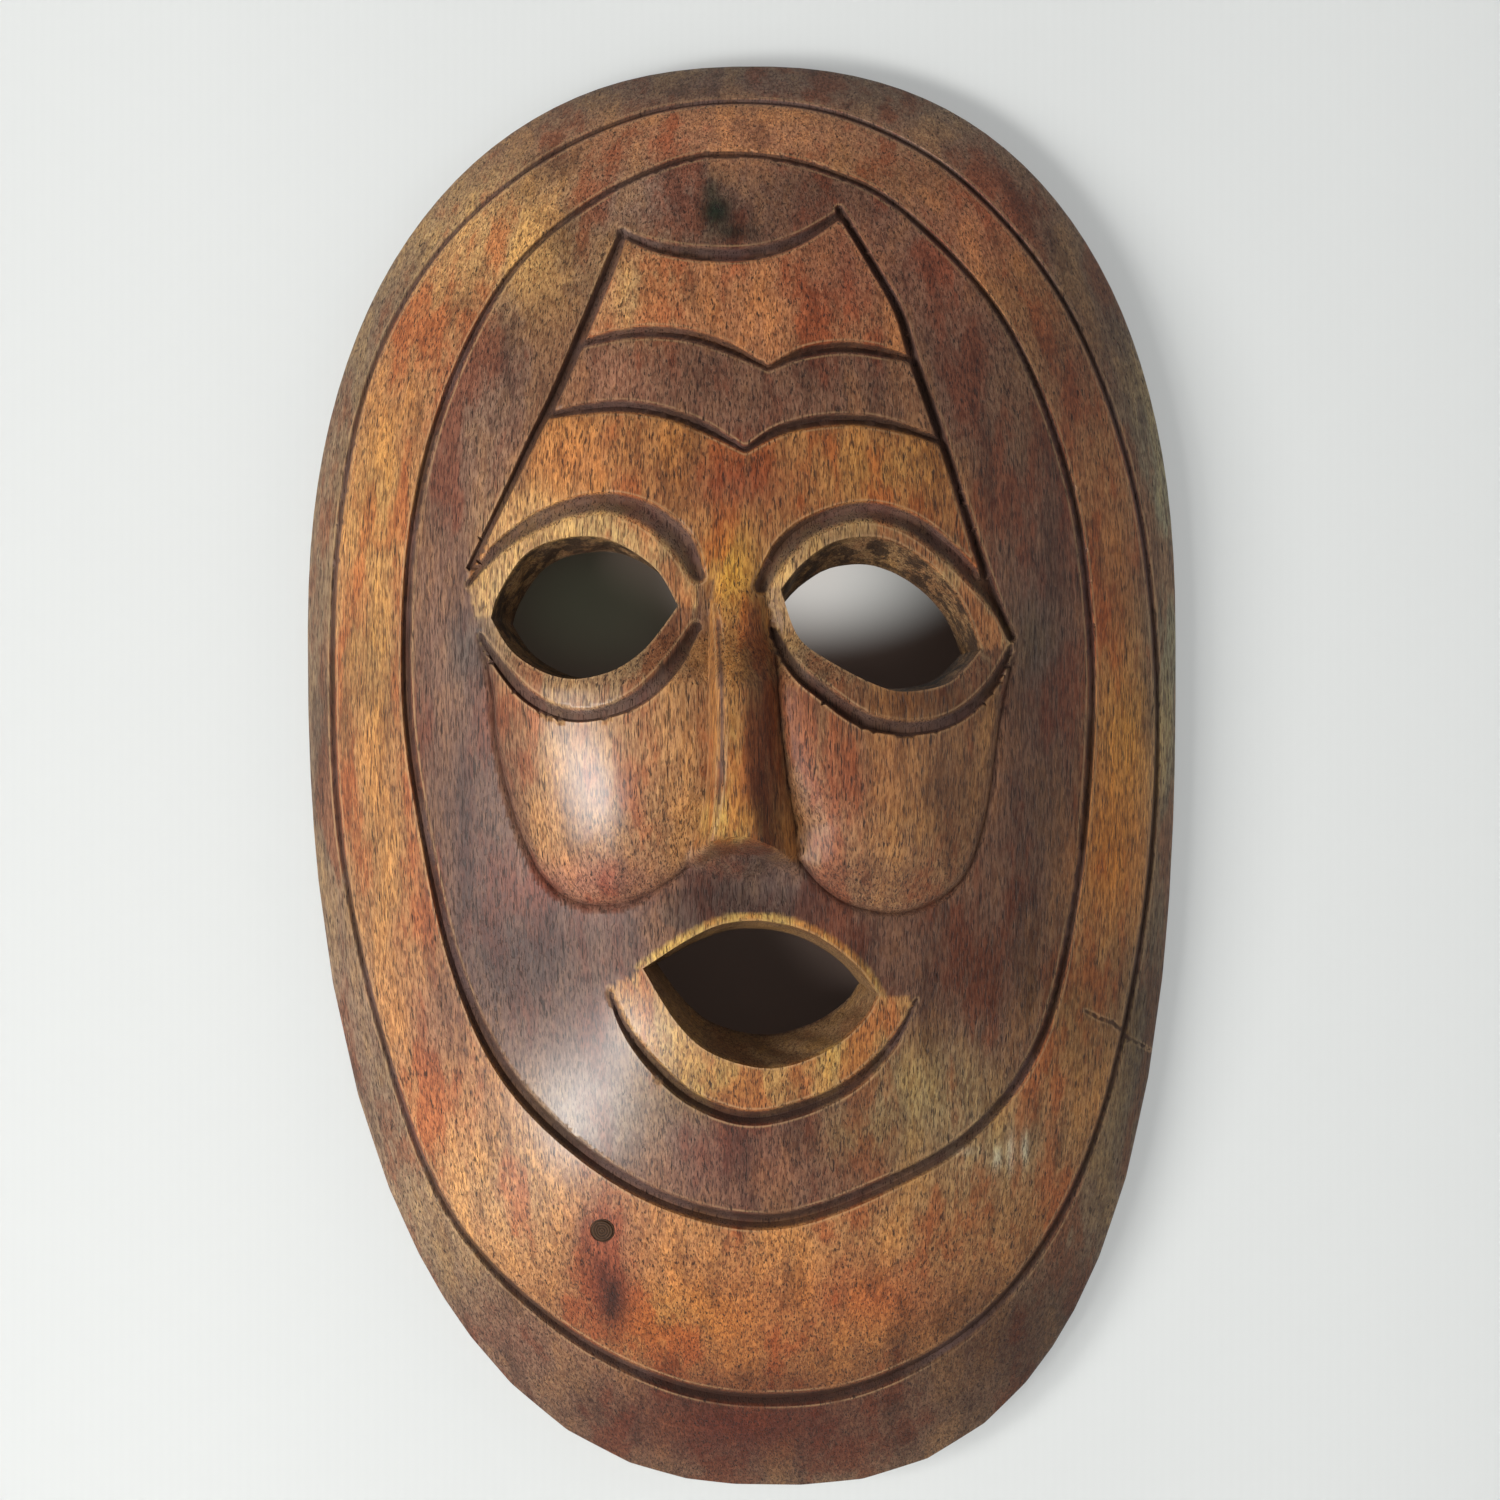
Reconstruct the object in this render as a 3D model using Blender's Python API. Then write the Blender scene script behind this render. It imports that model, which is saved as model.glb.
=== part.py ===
"""A carved wooden wall mask, upright, with its face towards -Y and its flat rim on the plane y = 0.

Frame: +Z up, +X to the viewer's right, origin where a nail in the wall carries the hanger ring.
"""
import math

import bmesh
import bpy
from mathutils import Matrix, Vector

MM = 0.001

# ---- driving dimensions of the carved block (metres) ----
RIM_EDGE = 11.0 * MM          # height of the upright edge all round the outline
DOME_RISE = 54.0 * MM         # how far the dome's crown stands above that edge
DOME_ROUNDNESS = 1.12         # radius of the dome's arc over the half width of the outline
WALL = 15.0 * MM              # thickness of the hollowed block, front to back
MUZZLE_RISE = 4.0 * MM        # extra swell round the mouth
MUZZLE_CENTRE = (2.0 * MM, -256.0 * MM)
MUZZLE_SPREAD = 34.0 * MM
CHEEK_RISE = 4.0 * MM         # how far each cheek pillow stands above the dome

# A loop is an oval made of two superellipse halves: centre, half width, reach up and down,
# exponent of the upper and lower half, and how far each end leans sideways.
OUTLINE = dict(cx=-2.4 * MM, cz=-153.0 * MM, a=124.8 * MM, up=164.4 * MM, down=243.6 * MM,
               n_up=2.30, n_down=2.48, lean_up=2.5 * MM, lean_down=9.8 * MM)
OUTER_RING = dict(cx=-1.8 * MM, cz=-163.6 * MM, a=117.5 * MM, up=162.1 * MM, down=204.5 * MM,
                  n_up=2.19, n_down=2.29, lean_up=-4.9 * MM, lean_down=7.6 * MM)
INNER_RING = dict(cx=-0.4 * MM, cz=-151.8 * MM, a=95.5 * MM, up=133.9 * MM, down=161.6 * MM,
                  n_up=2.02, n_down=2.48, lean_up=-3.3 * MM, lean_down=8.3 * MM)
HOLLOW = dict(cx=-1.5 * MM, cz=-170.0 * MM, a=108.0 * MM, up=139.0 * MM, down=199.0 * MM,
              n_up=2.30, n_down=2.40, lean_up=2.0 * MM, lean_down=6.0 * MM)

LOOP_POINTS = 64              # points round the outline
OUTER_RINGS = 16              # loops between the outline and the crown
HOLLOW_SCALES = (1.0, 0.985, 0.95, 0.88, 0.76, 0.6, 0.42, 0.22)

# ---- carved lines, as (x, z) in millimetres, each a smooth curve through a few points ----
# name: points, half width, depth, half width of the floor
LINES = {
    "panel_top": ([(-36, -42), (-14, -48), (1, -47.5), (14, -43), (26, -35)], 1.8, 2.6, 0.2),
    "panel_left": ([(-36, -41), (-43, -63.5), (-54, -89), (-77.6, -134)], 1.7, 2.6, 0.2),
    "panel_right": ([(26.5, -34), (41.6, -63.4), (53.8, -101), (73, -157)], 1.6, 2.6, 0.2),
    "brow_upper_left": ([(-44.3, -72.3), (-28.4, -70.1), (-14, -71.8), (5.2, -80.5)], 1.6, 2.4, 0.2),
    "brow_upper_right": ([(5.2, -80.5), (13.2, -75.9), (27, -74.3), (45.6, -77.3)], 1.6, 2.4, 0.2),
    "brow_lower_left": ([(-55.2, -92.7), (-37.4, -91.2), (-23, -93), (-1.1, -103)], 1.6, 2.4, 0.2),
    "brow_lower_right": ([(-1.1, -103), (7.4, -97.8), (24, -94.6), (53.8, -101)], 1.6, 2.4, 0.2),
    "lid_left": ([(-76, -140.5), (-60.5, -123.8), (-40.2, -118), (-25, -122.5), (-15, -136)], 3.1, 3.0, 2.2),
    "lid_right": ([(4, -139.5), (15.6, -124.5), (31, -120.2), (50, -126), (72, -152)], 3.0, 3.0, 2.2),
    "bag_left": ([(-72.5, -155), (-62, -171), (-47, -176.2), (-31, -170.5), (-17, -156)], 2.2, 2.4, 1.3),
    "bag_right": ([(7.5, -155.5), (17, -167.5), (31, -177), (50, -178), (70.5, -160)], 2.2, 2.4, 1.3),
    "cheek_left": ([(-73.9, -155), (-70.2, -182), (-61.5, -212), (-49.3, -226.8), (-32.9, -227.2),
                    (-16.1, -216.7)], 1.3, 1.6, 0.2),
    "cheek_right": ([(72.9, -160), (66.6, -195.7), (59.9, -219.7), (40.7, -230), (18.9, -221.6),
                     (12.6, -214.5)], 1.3, 1.6, 0.2),
    "lip": ([(-38, -251.6), (-31, -267.5), (-15.2, -281.5), (1.8, -286.3), (22, -280.5),
             (37.5, -266.5), (43.5, -258)], 1.9, 2.6, 0.4),
}
TAPER = 0.35                  # a line's width and depth at its two ends, over those at its middle
RING_HALF_WIDTH = 1.5         # of the two ring grooves, in millimetres
RING_DEPTH = 2.6

# ---- holes, as (x, z) in millimetres: the arc above and the arc below, from corner to corner ----
# name: upper arc, lower arc, shift (x, z) and share (x, z) of the opening at the back, wall there
HOLES = {
    "eye_left": ([(-71.6, -148.7), (-66.8, -137), (-55, -128), (-39, -127.4), (-26, -135.5), (-19.7, -145.9)],
                 [(-19.7, -145.9), (-27.6, -156.5), (-41.6, -165), (-57.5, -163.5), (-71.6, -148.7)],
                 (4.1, -1.6), (0.96, 0.90), 15.0),
    "eye_right": ([(8.4, -141.3), (20.2, -129.4), (34, -126.9), (50, -134.2), (59, -145), (63.8, -157.3)],
                  [(63.8, -157.3), (56, -166), (43, -169.3), (23.5, -162.2), (8.4, -141.3)],
                  (-2.3, -2.9), (0.91, 0.81), 15.0),
    "mouth": ([(-29.4, -245.1), (-15.6, -236.2), (2, -231.8), (19, -236.4), (35.5, -252.7)],
              [(35.5, -252.7), (24.5, -265.8), (5.5, -272.6), (-14, -266.4), (-29.4, -245.1)],
              (-0.8, 2.4), (0.87, 0.73), 19.0),
}
HOLE_DEPTH = 30.0 * MM        # reach of a hole's cutter behind the surface
HOLE_OUTSIDE = 8.0 * MM       # reach of a hole's cutter in front of the surface

# ---- nose: z, left foot, left ridge, right ridge, right foot, rise over the dome (mm) ----
NOSE = [
    (-138.0, -11.5, -8.0, 0.0, 3.0, -1.0),
    (-150.0, -13.0, -9.5, -0.8, 4.5, 3.0),
    (-162.0, -13.9, -8.2, -1.2, 5.6, 6.5),
    (-178.0, -13.6, -7.4, -1.3, 6.4, 10.0),
    (-194.0, -14.6, -7.6, -0.8, 8.6, 12.5),
    (-208.5, -15.8, -10.9, 2.0, 12.0, 14.0),
    (-215.5, -16.2, -12.5, 9.0, 12.8, -1.5),
]
NOSE_ROOT = 9.0 * MM          # how deep the nose wedge reaches into the dome

# ---- the loose knot in its hole ----
KNOT_AT = (-41.1 * MM, -319.0 * MM)
KNOT_RADIUS = 3.5 * MM
KNOT_LENGTH = 8.7 * MM
KNOT_PROUD = 0.3 * MM
GAP = 0.3 * MM                # clearance kept between neighbouring pieces
BORE_SIDES = 20

# ---- hanger: a strap plate with a rolled eye, its ring and two wood screws ----
POCKET_HALF_WIDTH = 18.0 * MM
POCKET_DEPTH = 5.0 * MM
POCKET_TOP = 4.0 * MM
POCKET_BOTTOM = -36.0 * MM    # below the hollow's edge, so that the pocket opens into it
WIRE_RADIUS = 1.0 * MM
RING_LENGTH = 13.5 * MM       # from the hinge bar's centre to the far bend's centre
RING_RADIUS = 7.0 * MM        # of the far bend
RING_CORNER = 1.8 * MM        # bend radius at the ends of the hinge bar
PLATE_THICKNESS = 0.9 * MM
PLATE_HALF_WIDTH = 15.0 * MM
PLATE_HEIGHT = 10.5 * MM
PLATE_CORNER = 2.5 * MM
TONGUE_HALF_WIDTH = 4.0 * MM
EYE_INNER = WIRE_RADIUS + GAP
EYE_OUTER = EYE_INNER + PLATE_THICKNESS
EYE_SWEEP = 245.0             # degrees that the eye is rolled round the hinge bar
PLATE_BACK = -POCKET_DEPTH + GAP
HINGE_Y = PLATE_BACK + EYE_OUTER
HINGE_Z = WIRE_RADIUS - RING_LENGTH
PLATE_TOP = HINGE_Z - 2.6 * MM
SCREW_X = 11.6 * MM
SCREW_Z = PLATE_TOP - 0.5 * PLATE_HEIGHT
SCREW_HEAD_RADIUS = 2.7 * MM
SCREW_HEAD_HEIGHT = 1.7 * MM
SCREW_SHAFT_RADIUS = 1.3 * MM
SCREW_LENGTH = 14.0 * MM
SCREW_TIP = 3.0 * MM


# ---------------------------------------------------------------- curves and surface
def signed_power(value, exponent):
    """Raise the size of a value to a power and keep its sign."""
    return math.copysign(abs(value) ** exponent, value)


def loop_point(loop, angle, scale=1.0):
    """Point of an oval at a parameter angle, on the oval shrunk towards its centre by scale."""
    upper = math.sin(angle) >= 0
    reach = loop["up"] if upper else loop["down"]
    lean = loop["lean_up"] if upper else loop["lean_down"]
    exponent = 2.0 / (loop["n_up"] if upper else loop["n_down"])
    across = scale * signed_power(math.cos(angle), exponent)
    along = scale * signed_power(math.sin(angle), exponent)
    x = loop["cx"] + lean * along * along + loop["a"] * across
    return x, loop["cz"] + reach * along


def loop_scale(loop, x, z):
    """The scale at which the oval passes through a point: 0 at its centre, 1 on its outline."""
    upper = z >= loop["cz"]
    along = abs(z - loop["cz"]) / (loop["up"] if upper else loop["down"])
    lean = loop["lean_up"] if upper else loop["lean_down"]
    across = abs(x - loop["cx"] - lean * along * along) / loop["a"]
    n = loop["n_up"] if upper else loop["n_down"]
    return (across ** n + along ** n) ** (1.0 / n)


def dome_height(x, z):
    """Height of the plain dome above the wall: an arc over the outline, on an upright edge."""
    scale = min(loop_scale(OUTLINE, x, z), 1.0)
    low = math.sqrt(DOME_ROUNDNESS ** 2 - 1.0)
    arc = (math.sqrt(DOME_ROUNDNESS ** 2 - scale ** 2) - low) / (DOME_ROUNDNESS - low)
    return RIM_EDGE + DOME_RISE * arc


def swell(x, z, centre, across, along, rise):
    """A smooth round rise with the given spreads."""
    u = (x - centre[0]) / across
    v = (z - centre[1]) / along
    return rise * math.exp(-u * u - v * v)


def surface_height(x, z):
    """Height of the carved face without its lines: dome, muzzle swell and two cheek pillows."""
    height = dome_height(x, z)
    height += swell(x, z, MUZZLE_CENTRE, MUZZLE_SPREAD, MUZZLE_SPREAD, MUZZLE_RISE)
    height += swell(x, z, (-44 * MM, -198 * MM), 19 * MM, 25 * MM, CHEEK_RISE)
    height += swell(x, z, (41 * MM, -200 * MM), 19 * MM, 25 * MM, CHEEK_RISE)
    return height


def surface_point(x, z):
    return Vector((x, -surface_height(x, z), z))


def surface_normal(x, z):
    """Outward normal of the face from its slopes."""
    step = 1.0 * MM
    slope_x = (surface_height(x + step, z) - surface_height(x - step, z)) / (2 * step)
    slope_z = (surface_height(x, z + step) - surface_height(x, z - step)) / (2 * step)
    return Vector((-slope_x, -1.0, -slope_z)).normalized()


def smooth_curve(points, per_span):
    """Catmull-Rom curve through points, per_span samples between each pair."""
    result = []
    padded = [points[0]] + list(points) + [points[-1]]
    for start in range(len(points) - 1):
        p0, p1, p2, p3 = (Vector(padded[start + k]) for k in range(4))
        for step in range(per_span):
            t = step / per_span
            a = -0.5 * t ** 3 + t ** 2 - 0.5 * t
            b = 1.5 * t ** 3 - 2.5 * t ** 2 + 1.0
            c = -1.5 * t ** 3 + 2.0 * t ** 2 + 0.5 * t
            d = 0.5 * t ** 3 - 0.5 * t ** 2
            result.append(a * p0 + b * p1 + c * p2 + d * p3)
    result.append(Vector(points[-1]))
    return result


# ---------------------------------------------------------------- mesh helpers
def link(obj, material=None):
    bpy.context.collection.objects.link(obj)
    if material:
        obj.data.materials.append(material)
    return obj


def mesh_object(name, bm, material=None):
    """Turn a bmesh into a linked object with its faces pointing outwards."""
    bmesh.ops.recalc_face_normals(bm, faces=bm.faces)
    mesh = bpy.data.meshes.new(name)
    bm.to_mesh(mesh)
    bm.free()
    return link(bpy.data.objects.new(name, mesh), material)


def add_loops(bm, loops):
    """Add closed loops of points and bridge each to the next."""
    rings = [[bm.verts.new(point) for point in loop] for loop in loops]
    count = len(rings[0])
    for lower, upper in zip(rings, rings[1:]):
        for i in range(count):
            j = (i + 1) % count
            bm.faces.new((lower[i], lower[j], upper[j], upper[i]))
    return rings


def close_with_fan(bm, ring, point):
    """Close a loop with triangles to one middle point."""
    middle = bm.verts.new(point)
    for i, vert in enumerate(ring):
        bm.faces.new((vert, ring[(i + 1) % len(ring)], middle))


def add_cutter(target, cutter, operation="DIFFERENCE"):
    """Give the target a Boolean with a hidden wire-frame cutter."""
    cutter.hide_render = True
    cutter.display_type = "WIRE"
    cutter.parent = target
    boolean = target.modifiers.new(cutter.name, "BOOLEAN")
    boolean.operation = operation
    boolean.solver = "EXACT"
    boolean.object = cutter


def cylinder_between(name, start, end, radius, sides, end_radius=None):
    """A closed cylinder or cone frustum from start to end."""
    axis = end - start
    turn = axis.to_track_quat("Z", "Y").to_matrix().to_4x4()
    bm = bmesh.new()
    bmesh.ops.create_cone(bm, cap_ends=True, segments=sides, radius1=radius,
                          radius2=radius if end_radius is None else end_radius, depth=axis.length)
    bmesh.ops.transform(bm, matrix=Matrix.Translation((start + end) / 2) @ turn, verts=bm.verts)
    return mesh_object(name, bm)


def material(name, color, roughness, metallic=0.0):
    mat = bpy.data.materials.new(name)
    mat.use_nodes = True
    shader = mat.node_tree.nodes["Principled BSDF"]
    shader.inputs["Base Color"].default_value = (*color, 1.0)
    shader.inputs["Roughness"].default_value = roughness
    shader.inputs["Metallic"].default_value = metallic
    mat.diffuse_color = (*color, 1.0)
    return mat


def smooth(obj, degrees=35.0):
    obj.data.shade_smooth()
    obj.data.set_sharp_from_angle(angle=math.radians(degrees))


# ---------------------------------------------------------------- the carved block
def outer_loops():
    """Loops of the front: the outline on the wall plane, then the dome from its edge inwards."""
    angles = [math.tau * i / LOOP_POINTS for i in range(LOOP_POINTS)]
    outline = [loop_point(OUTLINE, angle) for angle in angles]
    loops = [[Vector((x, 0.0, z)) for x, z in outline]]
    for ring in range(OUTER_RINGS, 0, -1):
        scale = ring / OUTER_RINGS
        loops.append([surface_point(*loop_point(OUTLINE, angle, scale)) for angle in angles])
    return loops


def hollow_height(x, z, scale):
    """Height of the hollow: the dome less the wall, rounded down to the rim at its edge."""
    return max(dome_height(x, z) - WALL, 0.0) * math.sqrt(1.0 - scale ** 10)


def hollow_loops():
    """Loops of the back: from the edge of the hollow on the rim inwards."""
    loops = []
    for scale in HOLLOW_SCALES:
        loop = []
        for i in range(LOOP_POINTS):
            x, z = loop_point(HOLLOW, math.tau * i / LOOP_POINTS, scale)
            loop.append(Vector((x, -hollow_height(x, z, scale), z)))
        loops.append(loop)
    return loops


def make_block(mat):
    """The hollowed dome: hollow, flat rim, upright edge and front as one closed skin."""
    bm = bmesh.new()
    loops = list(reversed(hollow_loops())) + outer_loops()
    rings = add_loops(bm, loops)
    hollow_x, hollow_z = HOLLOW["cx"], HOLLOW["cz"]
    close_with_fan(bm, rings[0], Vector((hollow_x, -hollow_height(hollow_x, hollow_z, 0.0), hollow_z)))
    close_with_fan(bm, rings[-1], surface_point(OUTLINE["cx"], OUTLINE["cz"]))
    return mesh_object("mask_body", bm, mat)


def groove_section(point, normal, tangent, half_width, depth, floor):
    """Four corners of a groove's section: its walls run on above the surface."""
    side = tangent.cross(normal).normalized()
    above = 0.6 * depth
    top = half_width + (half_width - floor) * above / depth
    return [point + side * top + normal * above, point - side * top + normal * above,
            point - side * floor - normal * depth, point + side * floor - normal * depth]


def groove_cutter(name, points, half_width, depth, floor, closed=False):
    """Sweep the groove's section along points that lie on the face."""
    count = len(points)
    sections = []
    for i, (x, z) in enumerate(points):
        before = points[(i - 1) % count] if closed or i else points[i]
        after = points[(i + 1) % count] if closed or i < count - 1 else points[i]
        tangent = surface_point(*after) - surface_point(*before)
        share = 1.0 if closed else TAPER + (1.0 - TAPER) * math.sin(math.pi * i / (count - 1)) ** 0.5
        sections.append(groove_section(surface_point(x, z), surface_normal(x, z), tangent,
                                       half_width * share, depth * share, floor * share))
    bm = bmesh.new()
    if closed:
        add_loops(bm, sections + sections[:1])
        bmesh.ops.remove_doubles(bm, verts=bm.verts, dist=1e-6)
    else:
        rings = add_loops(bm, sections)
        bm.faces.new(rings[0])
        bm.faces.new(rings[-1])
    return mesh_object(name, bm)


def cut_lines(body):
    """Cut the two ring grooves and every carved line."""
    for name, loop in (("outer_ring", OUTER_RING), ("inner_ring", INNER_RING)):
        points = [loop_point(loop, math.tau * (i + 0.5) / LOOP_POINTS) for i in range(LOOP_POINTS)]
        add_cutter(body, groove_cutter("cut_" + name, points, RING_HALF_WIDTH * MM,
                                       RING_DEPTH * MM, 0.2 * MM, closed=True))
    for name, (points, half_width, depth, floor) in LINES.items():
        curve = smooth_curve([(x * MM, z * MM) for x, z in points], 3)
        add_cutter(body, groove_cutter("cut_" + name, curve, half_width * MM, depth * MM, floor * MM))


def hole_cutter(name, upper, lower, shift, share, wall):
    """A prism through the wall that narrows and leans from the face to the back."""
    outline = smooth_curve(upper, 2)[:-1] + smooth_curve(lower, 2)[:-1]
    outline = [point * MM for point in outline]
    middle_x = 0.5 * (min(p.x for p in outline) + max(p.x for p in outline))
    middle_z = 0.5 * (min(p.y for p in outline) + max(p.y for p in outline))
    bm = bmesh.new()
    loops = []
    for depth in (-HOLE_OUTSIDE, HOLE_DEPTH):
        part = depth / (wall * MM)
        wide = 1.0 - (1.0 - share[0]) * part
        tall = 1.0 - (1.0 - share[1]) * part
        loop = []
        for point in outline:
            x = middle_x + (point.x - middle_x) * wide + shift[0] * MM * part
            z = middle_z + (point.y - middle_z) * tall + shift[1] * MM * part
            loop.append(Vector((x, depth - surface_height(*point), z)))
        loops.append(loop)
    for ring in add_loops(bm, loops):
        close_with_fan(bm, ring, sum((vert.co for vert in ring), Vector()) / len(ring))
    return mesh_object(name, bm)


def make_nose():
    """The nose wedge: a flat ridge with two flanks and an undercut foot."""
    bm = bmesh.new()
    loops = []
    for z, left, ridge_left, ridge_right, right, rise in NOSE:
        z *= MM
        middle = 0.5 * (ridge_left + ridge_right) * MM
        top = dome_height(middle, z) + rise * MM
        root = dome_height(middle, z) - NOSE_ROOT
        corners = ((left - 1.5, root), (ridge_left, top), (ridge_right, top), (right + 1.5, root))
        loops.append([Vector((x * MM, -height, z)) for x, height in corners])
    rings = add_loops(bm, loops)
    bm.faces.new(rings[0])
    bm.faces.new(rings[-1])
    return mesh_object("nose_wedge", bm)


def make_pocket():
    """The shallow pocket cut into the rim's back for the hanger."""
    bm = bmesh.new()
    bmesh.ops.create_cube(bm, size=1.0)
    depth = POCKET_DEPTH + 2 * MM
    height = POCKET_TOP - POCKET_BOTTOM
    bmesh.ops.scale(bm, vec=(2 * POCKET_HALF_WIDTH, depth, height), verts=bm.verts)
    centre = (0.0, 0.5 * depth - POCKET_DEPTH, 0.5 * (POCKET_TOP + POCKET_BOTTOM))
    bmesh.ops.translate(bm, vec=centre, verts=bm.verts)
    return mesh_object("cut_pocket", bm)


def make_mask_body(mat):
    body = make_block(mat)
    add_cutter(body, make_nose(), "UNION")
    cut_lines(body)
    for name, values in HOLES.items():
        add_cutter(body, hole_cutter("cut_" + name, *values))
    add_cutter(body, make_pocket())
    top, inward = knot_axis()
    add_cutter(body, cylinder_between("cut_knot", top - inward * 4 * MM,
                                      top + inward * (KNOT_LENGTH + GAP), KNOT_RADIUS + GAP, BORE_SIDES))
    for side in (-1, 1):
        start = Vector((side * SCREW_X, 0.0, SCREW_Z))
        end = Vector((side * SCREW_X, PLATE_BACK - SCREW_LENGTH - GAP, SCREW_Z))
        add_cutter(body, cylinder_between("cut_screw", start, end, SCREW_SHAFT_RADIUS + GAP, 12))
    return body


# ---------------------------------------------------------------- the small pieces
def knot_axis():
    """Where the knot meets the face and the direction in which it runs into the wood."""
    return surface_point(*KNOT_AT), -surface_normal(*KNOT_AT)


def make_knot(mat):
    """The loose knot: a round plug that fills its hole to just above the face."""
    top, inward = knot_axis()
    knot = cylinder_between("knot_plug", top - inward * KNOT_PROUD, top + inward * KNOT_LENGTH,
                            KNOT_RADIUS, BORE_SIDES, KNOT_RADIUS * 0.94)
    knot.data.materials.append(mat)
    bevel = knot.modifiers.new("worn edge", "BEVEL")
    bevel.width = 0.5 * MM
    bevel.segments = 2
    smooth(knot)


def eye_profile():
    """Section of the tongue and its rolled eye in the YZ plane, as one outline."""
    foot = PLATE_TOP - 3 * MM
    steps = 14
    outer = []
    inner = []
    for i in range(steps + 1):
        angle = math.pi - math.radians(EYE_SWEEP) * i / steps
        direction = Vector((math.cos(angle), math.sin(angle)))
        outer.append(Vector((HINGE_Y, HINGE_Z)) + direction * EYE_OUTER)
        inner.append(Vector((HINGE_Y, HINGE_Z)) + direction * EYE_INNER)
    start = [Vector((PLATE_BACK, foot))]
    end = [Vector((PLATE_BACK + PLATE_THICKNESS, foot))]
    return start + outer + inner[::-1] + end


def make_tongue():
    """The tongue and eye, extruded across the plate."""
    bm = bmesh.new()
    corners = [bm.verts.new((-TONGUE_HALF_WIDTH, y, z)) for y, z in eye_profile()]
    face = bm.faces.new(corners)
    grown = bmesh.ops.extrude_face_region(bm, geom=[face])["geom"]
    moved = [item for item in grown if isinstance(item, bmesh.types.BMVert)]
    bmesh.ops.translate(bm, vec=(2 * TONGUE_HALF_WIDTH, 0, 0), verts=moved)
    return mesh_object("tongue", bm)


def make_plate(mat):
    """The strap plate: a flat base with round corners, two screw holes and the rolled eye."""
    bm = bmesh.new()
    bmesh.ops.create_cube(bm, size=1.0)
    bmesh.ops.scale(bm, vec=(2 * PLATE_HALF_WIDTH, PLATE_THICKNESS, PLATE_HEIGHT), verts=bm.verts)
    corners = [edge for edge in bm.edges if abs(edge.verts[0].co.y - edge.verts[1].co.y) > 0.5 * MM]
    bmesh.ops.bevel(bm, geom=corners, offset=PLATE_CORNER, segments=5, profile=0.5, affect="EDGES")
    centre = (0.0, PLATE_BACK + 0.5 * PLATE_THICKNESS, PLATE_TOP - 0.5 * PLATE_HEIGHT)
    bmesh.ops.translate(bm, vec=centre, verts=bm.verts)
    plate = mesh_object("hanger_plate", bm, mat)
    add_cutter(plate, make_tongue(), "UNION")
    for side in (-1, 1):
        start = Vector((side * SCREW_X, PLATE_BACK - 2 * MM, SCREW_Z))
        end = start + Vector((0.0, 6 * MM, 0.0))
        add_cutter(plate, cylinder_between("cut_plate", start, end, SCREW_SHAFT_RADIUS + GAP, 16))


def arc(centre, radius, start, end, steps):
    """Points of an arc between two angles in degrees."""
    points = []
    for i in range(steps + 1):
        angle = math.radians(start + (end - start) * i / steps)
        points.append((centre[0] + radius * math.cos(angle), centre[1] + radius * math.sin(angle)))
    return points


def make_ring(mat):
    """The ring: a straight hinge bar and a round bend, hanging down from the bar."""
    edge = RING_RADIUS - RING_CORNER
    path = arc((edge, -RING_CORNER), RING_CORNER, 90, 0, 4)
    path += arc((0.0, RING_RADIUS - RING_LENGTH), RING_RADIUS, 0, -180, 16)
    path += arc((-edge, -RING_CORNER), RING_CORNER, 180, 90, 4)
    curve = bpy.data.curves.new("hanger_ring", "CURVE")
    curve.dimensions = "3D"
    curve.bevel_depth = WIRE_RADIUS
    curve.bevel_resolution = 2
    curve.use_fill_caps = True
    spline = curve.splines.new("POLY")
    spline.points.add(len(path) - 1)
    for point, (x, z) in zip(spline.points, path):
        point.co = (x, 0.0, z, 1.0)
    spline.use_cyclic_u = True
    ring = link(bpy.data.objects.new("hanger_ring", curve), mat)
    ring.location = (0.0, HINGE_Y, HINGE_Z)


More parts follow.
